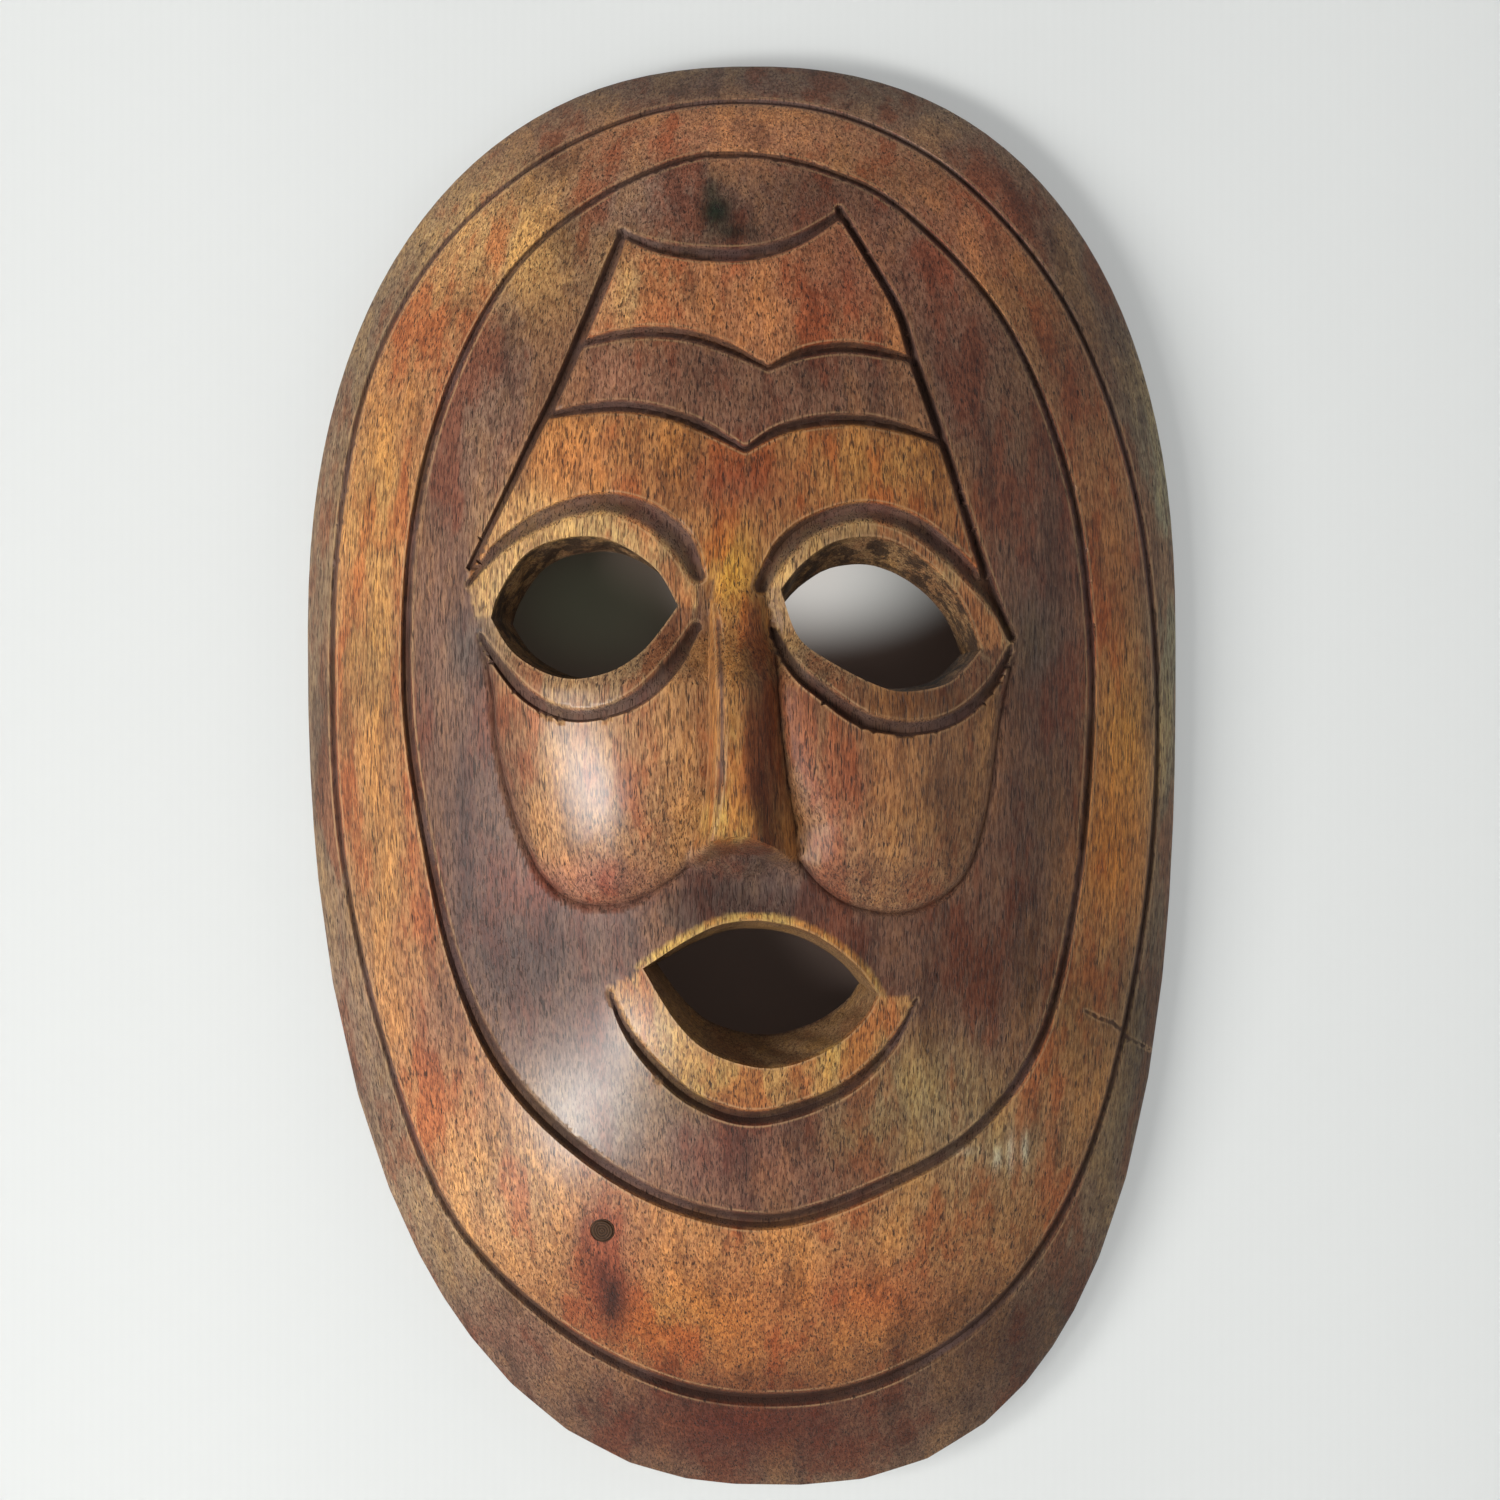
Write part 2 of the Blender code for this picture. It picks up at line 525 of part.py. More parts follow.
def make_screw(name, x, mat):
    """A pan head wood screw with a cross recess and a pointed shaft, pointing into the wood."""
    seat = PLATE_BACK + PLATE_THICKNESS + GAP
    tip = PLATE_BACK - SCREW_LENGTH
    profile = [(0.0, seat + SCREW_HEAD_HEIGHT), (0.55, seat + 0.96 * SCREW_HEAD_HEIGHT),
               (0.86, seat + 0.72 * SCREW_HEAD_HEIGHT), (1.0, seat + 0.3 * SCREW_HEAD_HEIGHT), (1.0, seat)]
    profile = [(share * SCREW_HEAD_RADIUS, y) for share, y in profile]
    profile += [(SCREW_SHAFT_RADIUS, seat), (SCREW_SHAFT_RADIUS, tip + SCREW_TIP), (0.0, tip)]
    bm = bmesh.new()
    verts = [bm.verts.new((radius, y, 0.0)) for radius, y in profile]
    for a, b in zip(verts, verts[1:]):
        bm.edges.new((a, b))
    bmesh.ops.spin(bm, geom=bm.edges[:] + bm.verts[:], cent=(0, 0, 0), axis=(0, 1, 0),
                   angle=math.tau, steps=16, use_merge=True)
    bmesh.ops.remove_doubles(bm, verts=bm.verts, dist=1e-6)
    bmesh.ops.translate(bm, vec=(x, 0.0, SCREW_Z), verts=bm.verts)
    screw = mesh_object(name, bm, mat)
    smooth(screw)
    for number, turn in enumerate((0.4, 0.4 + math.pi / 2)):
        slot = bmesh.new()
        bmesh.ops.create_cube(slot, size=1.0)
        bmesh.ops.scale(slot, vec=(3.0 * MM, 2.0 * MM, 0.7 * MM), verts=slot.verts)
        bmesh.ops.rotate(slot, matrix=Matrix.Rotation(turn, 3, "Y"), verts=slot.verts)
        bmesh.ops.translate(slot, vec=(x, seat + SCREW_HEAD_HEIGHT, SCREW_Z), verts=slot.verts)
        add_cutter(screw, mesh_object(f"cut_{name}_{number}", slot))


def main():
    for obj in list(bpy.data.objects):
        bpy.data.objects.remove(obj, do_unlink=True)
    wood = material("carved_wood", (0.30, 0.15, 0.07), 0.42)
    knot = material("knot_wood", (0.07, 0.04, 0.03), 0.6)
    steel = material("zinc_steel", (0.55, 0.55, 0.53), 0.35, 1.0)
    make_mask_body(wood)
    make_knot(knot)
    make_plate(steel)
    make_ring(steel)
    make_screw("hanger_screw_left", -SCREW_X, steel)
    make_screw("hanger_screw_right", SCREW_X, steel)


main()
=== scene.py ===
import math

import bmesh
import bpy
import numpy as np
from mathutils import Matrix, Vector


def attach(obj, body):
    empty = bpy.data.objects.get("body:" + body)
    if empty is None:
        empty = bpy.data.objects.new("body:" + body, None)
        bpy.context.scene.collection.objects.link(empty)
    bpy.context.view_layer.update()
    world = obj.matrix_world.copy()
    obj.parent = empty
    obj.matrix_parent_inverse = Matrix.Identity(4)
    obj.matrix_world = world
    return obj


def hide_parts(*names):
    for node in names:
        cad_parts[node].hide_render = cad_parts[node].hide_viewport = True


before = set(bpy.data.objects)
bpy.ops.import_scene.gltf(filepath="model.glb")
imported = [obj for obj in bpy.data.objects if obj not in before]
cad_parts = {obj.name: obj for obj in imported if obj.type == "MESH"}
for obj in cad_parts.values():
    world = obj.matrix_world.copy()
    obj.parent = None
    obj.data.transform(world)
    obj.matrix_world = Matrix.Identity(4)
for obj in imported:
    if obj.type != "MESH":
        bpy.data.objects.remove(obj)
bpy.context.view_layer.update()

mm = 0.001


# ---- camera: square on to the face, level with its middle; lengths in metres, lens and sensor in mm ----
camera = {"lens": 86.7, "sensor": 36.0, "away": 1.05, "height": -0.1852}


def makeCamera():
    data = bpy.data.cameras.new("camera")
    data.lens = camera["lens"]
    data.sensor_width = camera["sensor"]
    data.clip_end = 50
    eye = bpy.data.objects.new("camera", data)
    eye.location = (0, -camera["away"], camera["height"])
    eye.rotation_euler = (math.pi / 2, 0, 0)
    bpy.context.scene.collection.objects.link(eye)
    bpy.context.scene.camera = eye


makeCamera()
bpy.context.scene.view_settings.view_transform = "Standard"


# ---- shader maths: one wrapped socket, so that masks are written as sums and products ----
class Value:
    def __init__(self, tree, socket):
        self.tree = tree
        self.socket = socket

    def node(self, kind, values=None, settings=None, output=0):   # any node: its sockets and its settings
        made = self.tree.nodes.new(kind)
        for name, setting in (settings or {}).items():
            setattr(made, name, setting)
        for name, value in (values or {}).items():
            if isinstance(value, Value):
                self.tree.links.new(value.socket, made.inputs[name])
            else:
                made.inputs[name].default_value = value
        return Value(self.tree, made.outputs[output])

    def maths(self, operation, a, b=0.0):
        return self.node("ShaderNodeMath", {0: a, 1: b}, {"operation": operation})

    def vectors(self, operation, a, b=(0, 0, 0), output=0):
        return self.node("ShaderNodeVectorMath", {0: a, 1: b}, {"operation": operation}, output)

    def __add__(self, other):
        return self.maths("ADD", self, other)

    def __radd__(self, other):
        return self.maths("ADD", other, self)

    def __sub__(self, other):
        return self.maths("SUBTRACT", self, other)

    def __rsub__(self, other):
        return self.maths("SUBTRACT", other, self)

    def __mul__(self, other):
        return self.maths("MULTIPLY", self, other)

    def __rmul__(self, other):
        return self.maths("MULTIPLY", other, self)

    def least(self, other):
        return self.maths("MINIMUM", self, other)

    def most(self, other):
        return self.maths("MAXIMUM", self, other)

    def step(self, low, high):                                     # smooth 0 to 1 between low and high
        return self.node("ShaderNodeMapRange", {"Value": self, "From Min": low, "From Max": high},
                         {"interpolation_type": "SMOOTHSTEP"})

    def noise(self, where, scale, detail=2.0, rough=0.5):
        values = {"Vector": where, "Scale": scale, "Detail": detail, "Roughness": rough}
        return self.node("ShaderNodeTexNoise", values)

    def grained(self, where, stretch, scale, detail, rough, move=(0, 0, 0)):     # noise drawn out along z
        drawn = self.node("ShaderNodeMapping", {"Vector": where, "Scale": stretch, "Location": move})
        return self.noise(drawn, scale, detail, rough)

    def attribute(self, name, output="Fac"):
        return self.node("ShaderNodeAttribute", None, {"attribute_name": name}, output)

    def mix(self, share, first, second, blend="MIX"):              # colours: first where share is 0
        made = self.tree.nodes.new("ShaderNodeMix")
        made.data_type = "RGBA"
        made.blend_type = blend
        for index, value in ((0, share), (6, first), (7, second)):
            if isinstance(value, Value):
                self.tree.links.new(value.socket, made.inputs[index])
            elif index:
                made.inputs[index].default_value = (*value, 1)
            else:
                made.inputs[index].default_value = value
        return Value(self.tree, made.outputs[2])

    def grey(self, value):
        return self.node("ShaderNodeCombineColor", {0: value, 1: value, 2: value})

    def spread(self, reach):                                       # a number as a small push along x
        return self.node("ShaderNodeCombineXYZ", {0: (self - 0.5) * reach, 1: 0.0, 2: 0.0})

    def bump(self, height, distance, strength=1.0):
        return self.node("ShaderNodeBump", {"Height": height, "Distance": distance, "Strength": strength})


def newFinish(name):
    finish = bpy.data.materials.new(name)
    finish.use_nodes = True
    tree = finish.node_tree
    shader = tree.nodes["Principled BSDF"]
    place = tree.nodes.new("ShaderNodeTexCoord")
    return finish, Value(tree, place.outputs["Object"]), shader


def connect(maker, shader, links):
    for name, value in links.items():
        if isinstance(value, Value):
            maker.tree.links.new(value.socket, shader.inputs[name])
        else:
            shader.inputs[name].default_value = value


# ---- the carved block, in millimetres: the same dome and hollow as the CAD block ----
block = {
    "edge": 11.0, "rise": 54.0, "roundness": 1.12, "wall": 15.0,
    "outline": dict(cx=-2.4, cz=-153.0, a=124.8, up=164.4, down=243.6, nUp=2.30, nDown=2.48,
                    leanUp=2.5, leanDown=9.8),
    "hollow": dict(cx=-1.5, cz=-170.0, a=108.0, up=139.0, down=199.0, nUp=2.30, nDown=2.40,
                   leanUp=2.0, leanDown=6.0),
    "frontCell": 1.10, "backCell": 2.1, "frontMargin": 1.03, "backMargin": 1.05,
    "cuts": 0.055, "chinCuts": (0.115, 0.035, 7.3),   # angle of a flat; under the chin: mean, change, pace
}

# swells over the dome: x, z, half width, half height, rise
relief = {
    "muzzle": (2, -256, 34, 34, 4.0), "chin": (0, -318, 95, 36, 3.4), "underNose": (-1, -224, 15, 7, 2.0),
    "cheekLeft": (-27, -190, 20, 34, 3.0), "cheekRight": (26, -192, 20, 34, 2.0),
}
cheeks = {"rise": 7.6, "shoulder": 13.0, "top": -151.0, "fade": 18.0}
crease = {"left": 2.2, "right": 4.5, "reach": 7.0, "low": -216.0, "high": -132.0}   # sink beside the nose

# carved lines as (x, z, half width) along each stroke; floor: the flat part of the bottom, as shares across
# the stroke from -1 at its right edge to 1 at its left edge; depth at the widest place
carvedLines = {
    "outerRing": dict(closed=True, depth=2.6, floor=(0.0, 0.0), points=[
        (1, -0.7, 1.1), (-30, -4.3, 1.1), (-62, -19.5, 1.0), (-90, -45, 1.0), (-108.5, -79.5, 1.0),
        (-117, -123, 1.0), (-118.8, -170, 1.1), (-115.8, -216, 1.1), (-104.3, -267, 1.1), (-86, -315, 1.4),
        (-56, -346.5, 1.8), (-21, -365.2, 2.1), (13, -368.8, 2.2), (42, -361.5, 2.1), (70, -342, 1.7),
        (93, -307.5, 1.4), (107.3, -261, 1.2), (115.3, -206, 1.1), (115.2, -152, 1.1), (107, -103, 1.1),
        (89, -58.5, 1.1), (61, -24.5, 1.1), (31, -6.5, 1.1)]),
    "innerRing": dict(closed=True, depth=3.0, floor=(-0.2, 0.2), points=[
        (1, -17.8, 1.2), (-19, -19.2, 1.1), (-45, -31.8, 1.1), (-68, -53, 1.2), (-85.5, -88, 1.3),
        (-94.4, -126, 1.5), (-96.0, -170, 1.6), (-91, -207, 1.6), (-81.5, -247, 1.8), (-67, -276.5, 2.3),
        (-44, -298.5, 2.4), (-18.6, -311.8, 2.5), (8, -315.6, 2.5), (37, -306, 2.3), (63, -291, 1.9),
        (81.5, -266, 1.6), (91, -228, 1.4), (95.4, -186, 1.4), (95.3, -150, 1.3), (88.8, -108, 1.3),
        (71, -65, 1.2), (43, -34, 1.2), (22, -22.5, 1.2)]),
    "panelTop": dict(depth=2.6, floor=(-0.35, 0.1), points=[
        (-36.3, -40.6, 1.3), (-27, -44.8, 1.9), (-14, -47.4, 2.2), (1, -47.3, 2.2), (14, -43, 1.9),
        (25.6, -35.2, 1.3)]),
    "panelLeft": dict(depth=2.8, floor=(-0.3, 0.3), points=[
        (-35.4, -41, 1.5), (-38.6, -50, 2.0), (-44, -64, 2.0), (-53.2, -86, 1.8), (-60, -99.5, 1.5),
        (-68, -116, 1.3), (-77.4, -134.5, 1.1)]),
    "panelRight": dict(depth=2.8, floor=(-0.3, 0.3), points=[
        (25, -34.2, 1.4), (33.5, -49, 1.5), (41.2, -63.4, 1.6), (45.4, -77.3, 1.8), (53.5, -101, 1.6),
        (61.5, -126, 1.6), (67, -142, 1.7), (72.2, -154, 1.4)]),
    "browUpperLeft": dict(depth=2.6, floor=(0.1, 0.3), points=[
        (-45.4, -72.6, 1.2), (-37, -70.6, 1.7), (-28, -69.8, 1.9), (-17, -70.8, 1.9), (-6, -74.4, 1.8),
        (5.2, -80.3, 0.9)]),
    "browUpperRight": dict(depth=2.6, floor=(0.1, 0.3), points=[
        (5.2, -80.3, 0.9), (13.5, -76.2, 1.6), (24, -74.2, 1.8), (34, -74.8, 1.8), (44.6, -77.2, 1.3)]),
    "browLowerLeft": dict(depth=2.6, floor=(0.1, 0.3), points=[
        (-55.2, -92.9, 1.2), (-46, -91.4, 1.7), (-35, -90.8, 1.9), (-24, -92.6, 1.8), (-13, -96.6, 1.7),
        (-1.2, -103.2, 0.9)]),
    "browLowerRight": dict(depth=2.6, floor=(0.1, 0.3), points=[
        (-1.2, -103.2, 0.9), (7.4, -98, 1.6), (18, -95.2, 1.8), (30, -94.6, 1.8), (42, -96.6, 1.6),
        (53, -100.4, 1.2)]),
    "lidLeft": dict(depth=2.8, floor=(0.2, 0.45), points=[
        (-78.2, -139.6, 0.8), (-70, -130.2, 2.1), (-60, -123.2, 2.8), (-49, -118.8, 3.1),
        (-38.5, -117.7, 3.3),
       
        (-28, -121, 3.7), (-19, -128.6, 4.0), (-14.6, -137.4, 2.6)]),
    "lidRight": dict(depth=2.8, floor=(0.2, 0.45), points=[
        (3.4, -140.4, 2.6), (9.5, -130.4, 3.4), (17.6, -123.8, 3.1), (30.5, -120, 3.0), (43, -122.6, 3.1),
        (54.5, -130.6, 3.0), (64.5, -141.2, 2.3), (72.4, -152.6, 0.9)]),
    "bagLeft": dict(depth=2.4, floor=(-0.6, 0.1), points=[
        (-74.4, -153.6, 0.7), (-68.6, -162.2, 1.7), (-60.6, -170.6, 2.0), (-50.6, -175.4, 1.9),
        (-40.6, -175.2, 1.9),
        (-30, -170.8, 2.4), (-21, -162, 2.6), (-14.8, -151.4, 1.6)]),
    "bagRight": dict(depth=2.4, floor=(-0.6, 0.1), points=[
        (6.4, -152.8, 1.4), (12.2, -163, 2.0), (20, -169.6, 2.3), (31, -177, 2.4), (44, -179.2, 2.1),
        (56, -176.4, 1.9), (66, -168, 1.7), (72.2, -156.6, 0.8)]),
    # the two cheek lines: their darkening, a quarter of the groove colour along the shallow valleys, is
    # painted shade of the crease
    "cheekLeft": dict(depth=1.0, darkening=0.25, floor=(0.0, 0.0), points=[
        (-73.9, -155.6, 1.1), (-71, -170, 1.3), (-69.8, -183, 1.3), (-66.2, -199, 1.4), (-61.3, -212.4, 1.4),
        (-56, -221.4, 1.4), (-48, -226.8, 1.4), (-38, -227.8, 1.4), (-29, -225.4, 1.4),
        (-16.6, -217.4, 1.1)]),
    "cheekRight": dict(depth=1.0, darkening=0.25, floor=(0.0, 0.0), points=[
        (12.8, -214.6, 1.1), (19.4, -222.4, 1.3), (28, -227.8, 1.3), (40.6, -230, 1.3), (51.6, -226.8, 1.3),
        (59.6, -219.8, 1.3), (64.2, -208, 1.3), (66.8, -195, 1.3), (69.2, -177, 1.3), (72.8, -160.4, 1.1)]),
    "lip": dict(depth=2.6, floor=(-0.1, 0.2), points=[
        (-38.8, -250.6, 0.4), (-35, -260.4, 1.3), (-27.6, -270.6, 2.0), (-16, -281, 2.2), (-1, -286.4, 2.2),
        (14, -283.8, 2.2), (28.6, -276.8, 2.0), (39.6, -265.6, 1.5), (46, -253.8, 0.4)]),
    "noseLeft": dict(depth=0.8, floor=(-0.2, 0.2), darkening=0.45, points=[
        (-9.4, -146, 0.4), (-8.3, -156, 0.9), (-7.6, -170, 0.9), (-7.5, -184, 0.9), (-8.2, -196, 0.8),
        (-9.2, -205, 0.3)]),
    # noseRight: its darkening along the nose's right foot, on the side turned from the lamps, is painted
    # shade
    "noseRight": dict(depth=0.6, floor=(-0.2, 0.2), darkening=0.28, points=[
        (6.0, -150, 0.4), (7.4, -164, 0.9), (8.6, -178, 1.0), (10.2, -192, 1.0), (12.0, -204, 0.9),
        (12.8, -212, 0.4)]),
    "crack": dict(depth=0.4, floor=(-0.1, 0.1), darkening=0.9, points=[
        (94.4, -258.5, 0.3), (99, -261.2, 0.5), (103, -262.6, 0.5), (107, -266.8, 0.5), (111, -269, 0.4),
        (115, -271.4, 0.2)]),
}

# holes through the wall: arc above, arc below, shift and share of the opening at the back
holes = {
    "eyeLeft": dict(shift=(4.1, -1.6), share=(0.96, 0.90),
                    above=[(-71.6, -148.7), (-69.4, -142), (-62, -131.4), (-51.4, -127), (-38.9, -127.4),
                           (-26, -135.5), (-19.7, -145.9)],
                    below=[(-19.7, -145.9), (-27.6, -156.5), (-34.5, -162.2), (-41.6, -165), (-49.4, -165.8),
                           (-57.5, -163.5), (-66, -157.6), (-71.6, -148.7)]),
    "eyeRight": dict(shift=(-2.3, -2.9), share=(0.91, 0.81),
                     above=[(8.4, -141.3), (14.5, -134), (24, -127.9), (37, -127.2), (50, -134.2),
                            (59, -145), (63.8, -157.3)],
                     below=[(63.8, -157.3), (55, -166.4), (43, -169.3), (33.9, -167.4), (20.6, -160.4),
                            (13, -154), (8.4, -141.3)]),
    "mouth": dict(shift=(-0.8, 2.4), share=(0.87, 0.73),
                  above=[(-29.4, -245.1), (-15.6, -236.2), (-5, -232.2), (8, -232.4), (19, -236.4),
                         (29, -244), (35.5, -252.7)],
                  below=[(35.5, -252.7), (31, -260), (20.7, -268.1), (5.8, -272.6), (-9.9, -268.8),
                         (-20, -260.2), (-29.4, -245.1)]),
}

# the nose along z: left foot, left ridge, right ridge, right foot, rise over the dome
nose = {
    "z": [-128, -138, -150, -162, -178, -194, -206, -214, -222],
    "leftFoot": [-8, -10.0, -11.4, -11.4, -11.2, -11.8, -14, -16.5, -18],
    "leftRidge": [-6, -7.4, -8.8, -8.2, -7.6, -7.8, -9.8, -12, -12],
    "rightRidge": [-1, 0.2, -0.8, -1.8, -1.8, -1.0, 1.6, 5, 5],
    "rightFoot": [2, 3.4, 5.6, 7.0, 8.2, 10.2, 12.4, 13.8, 14],
    "rise": [0, 0.6, 3.2, 4.6, 6.0, 7.4, 9.0, 10.6, 11.0],
    "tipX": [-20, -10.9, -3.8, 0.5, 6.8, 10.4, 16],
    "tipZ": [-214, -209.8, -208.4, -208.7, -211.6, -213.8, -217],
    "undercut": 5.0,
}
knot = {"x": -41.1, "z": -319.0, "radius": 3.5, "gap": 0.3, "length": 8.7}
pocket = {"halfWidth": 18.0, "top": 4.0, "foot": -60.0, "depth": 5.0, "slope": 1.4}
scoop = {"width": 10.5, "length": 46.0, "across": 1.0, "along": 0.7}    # gouge strokes in the hollow


# ---- curves and distances ----
def smoothPath(points, spacing, closed=False):   # Catmull-Rom curve through points, a sample each spacing mm
    points = np.array(points, float)
    if closed:
        padded = np.vstack([points[-1:], points, points[:2]])
    else:
        padded = np.vstack([points[:1], points, points[-1:]])
    pieces = []
    for k in range(len(padded) - 3):
        p0, p1, p2, p3 = padded[k:k + 4]
        count = max(2, int(np.hypot(*(p2 - p1)[:2]) / spacing))
        t = (np.arange(count) / count)[:, None]
        pieces.append(0.5 * (2 * p1 + (p2 - p0) * t + (2 * p0 - 5 * p1 + 4 * p2 - p3) * t * t
                             + (3 * p1 - p0 - 3 * p2 + p3) * t ** 3))
    last = points[:1] if closed else points[-1:]
    return np.vstack(pieces + [last])


# of each point: distance to the path, side (+ left), half width there, foot of the distance, heading
def nearest(x, z, path):
    best = np.full(x.shape, 1e6)
    found = [np.zeros(x.shape) for _ in range(6)]
    for a, b in zip(path[:-1], path[1:]):
        run = b[:2] - a[:2]
        length = np.hypot(*run) + 1e-9
        share = np.clip(((x - a[0]) * run[0] + (z - a[1]) * run[1]) / length ** 2, 0, 1)
        footX = a[0] + share * run[0]
        footZ = a[1] + share * run[1]
        away = np.hypot(x - footX, z - footZ)
        side = np.sign(run[0] * (z - a[1]) - run[1] * (x - a[0]))
        width = a[2] + share * (b[2] - a[2]) if len(a) > 2 else share
        closer = away < best
        best[closer] = away[closer]
        for kept, new in zip(found, (side, width, footX, footZ, run[0] / length, run[1] / length)):
            kept[closer] = new[closer] if np.ndim(new) else new
    return (best, *found)


def inside(x, z, path):      # even-odd test against a closed path
    odd = np.zeros(x.shape, bool)
    for a, b in zip(path[:-1], path[1:]):
        if a[1] == b[1]:
            continue
        crosses = (a[1] > z) != (b[1] > z)
        odd ^= crosses & (x < a[0] + (z - a[1]) * (b[0] - a[0]) / (b[1] - a[1]))
    return odd


def ovalShare(oval, x, z):   # 0 in the middle of an oval, 1 on it: two superellipse halves on a leaning axis
    up = z >= oval["cz"]
    v = np.abs(z - oval["cz"]) / np.where(up, oval["up"], oval["down"])
    u = np.abs(x - oval["cx"] - np.where(up, oval["leanUp"], oval["leanDown"]) * v * v) / oval["a"]
    n = np.where(up, oval["nUp"], oval["nDown"])
    return (u ** n + v ** n) ** (1 / n)


def ovalPath(oval, angles):
    up = np.sin(angles) >= 0
    power = 2 / np.where(up, oval["nUp"], oval["nDown"])
    u = np.sign(np.cos(angles)) * np.abs(np.cos(angles)) ** power
    v = np.sign(np.sin(angles)) * np.abs(np.sin(angles)) ** power
    lean = np.where(up, oval["leanUp"], oval["leanDown"])
    reach = np.where(up, oval["up"], oval["down"])
    return np.column_stack([oval["cx"] + lean * v * v + oval["a"] * u, oval["cz"] + reach * v])


def near(x, z, path, reach):  # which points lie within reach of the path's box
    low = path[:, :2].min(0) - reach
    high = path[:, :2].max(0) + reach
    return (x > low[0]) & (x < high[0]) & (z > low[1]) & (z < high[1])


def swell(x, z, cx, cz, wide, tall, rise):
    return rise * np.exp(-((x - cx) / wide) ** 2 - ((z - cz) / tall) ** 2)


# hand-cut outline: flats of uneven length, long ones under the chin
def makeOutline():
    angles = []
    angle = 0.0
    mean, change, pace = block["chinCuts"]
    while angle < math.tau - 0.03:
        angles.append(angle)
        underChin = math.sin(angle) < -0.2
        angle += (mean + change * math.sin(pace * len(angles))) if underChin else block["cuts"]
    path = ovalPath(block["outline"], np.array(angles))
    return np.vstack([path, path[:1]])


outlinePath = makeOutline()
hollowPath = ovalPath(block["hollow"], np.linspace(0, math.tau, 181))
lineSpacing, holeSpacing = 2.0, 1.2
linePaths = {}
for name, line in carvedLines.items():
    linePaths[name] = smoothPath(line["points"], lineSpacing, line.get("closed", False))
for hole in holes.values():
    upper = smoothPath(hole["above"], holeSpacing)
    hole["path"] = np.vstack([upper[:-1], smoothPath(hole["below"], holeSpacing)])
    hole["corners"] = (0, len(upper) - 1)
    low, high = hole["path"].min(0), hole["path"].max(0)
    hole["middle"] = (low + high) / 2
    hole["backPath"] = hole["middle"] + hole["shift"] + (hole["path"] - hole["middle"]) * hole["share"]
knotAngles = np.linspace(0, math.tau, 25)
knotPath = np.column_stack([knot["x"] + (knot["radius"] + knot["gap"]) * np.cos(knotAngles) * 0.93,
                            knot["z"] + (knot["radius"] + knot["gap"]) * np.sin(knotAngles) * 0.90])
underNose = [-2, -221]
cheekValley = np.vstack([linePaths["cheekLeft"][:, :2], [underNose], linePaths["cheekRight"][:, :2]])


# ---- heights over the wall plane ----
def domeHeight(x, z):        # an arc over the outline, standing on an upright edge
    share = np.minimum(ovalShare(block["outline"], x, z), 1.0)
    k = block["roundness"]
    low = math.sqrt(k * k - 1)
    return block["edge"] + block["rise"] * (np.sqrt(k * k - share ** 2) - low) / (k - low)


def noseShape(x, z):         # 0 at the feet to 1 on the ridge, the rise, and the two creases' distance
    rows = nose["z"][::-1]
    keys = ("leftFoot", "leftRidge", "rightRidge", "rightFoot", "rise")
    at = {key: np.interp(z, rows, nose[key][::-1]) for key in keys}
    left = (x - at["leftFoot"]) / (at["leftRidge"] - at["leftFoot"])
    right = (at["rightFoot"] - x) / (at["rightFoot"] - at["rightRidge"])
    flank = np.clip(np.minimum(left, right), 0, 1)
    tip = np.interp(x, nose["tipX"], nose["tipZ"])
    under = np.clip(1 + (z - tip) / nose["undercut"], 0, 1)
    toCrease = np.minimum(np.abs(x - at["leftFoot"]), np.abs(x - at["rightFoot"]))
    return flank * under, at["rise"], toCrease


def cheekRise(x, z):         # 0 on the valley round both cheeks and the nose, 1 - exp(-distance) inside it
    rise = np.zeros(x.shape)
    closedPath = np.vstack([cheekValley[:, :2], [[74, -150], [-75, -150]], cheekValley[:1, :2]])
    pick = near(x, z, cheekValley, 4)
    isIn = inside(x[pick], z[pick], closedPath)
    away = nearest(x[pick], z[pick], cheekValley[:, :2])[0]
    rise[pick] = np.where(isIn, 1 - np.exp(-away / cheeks["shoulder"]), 0)
    fade = np.clip((cheeks["top"] - z) / cheeks["fade"], 0, 1)    # grows out of the lower lid
    return rise * fade * fade * (3 - 2 * fade)


def faceHeight(x, z):        # the carved face before its lines are cut
    height = domeHeight(x, z) + swell(x, z, *relief["muzzle"])
    flank, noseRise, toCrease = noseShape(x, z)
    height = height + swell(x, z, *relief["cheekLeft"]) + swell(x, z, *relief["cheekRight"])
    height = height + cheeks["rise"] * cheekRise(x, z) + swell(x, z, *relief["chin"])
    along = np.clip((z - crease["low"]) / 10, 0, 1) * np.clip((crease["high"] - z) / 22, 0, 1)
    sink = np.where(x < 0, crease["left"], crease["right"]) * np.exp(-toCrease / crease["reach"])
    height = height - sink * (1 - flank) * along
    height = height - swell(x, z, *relief["underNose"])
    height = height + noseRise * flank * np.clip((-124 - z) / 10, 0, 1)
    uneven = np.sin(x / 9.3 + 1.7 * np.sin(z / 37.0)) * np.sin(z / 14.7 + 0.8)
    return height + 0.22 * uneven


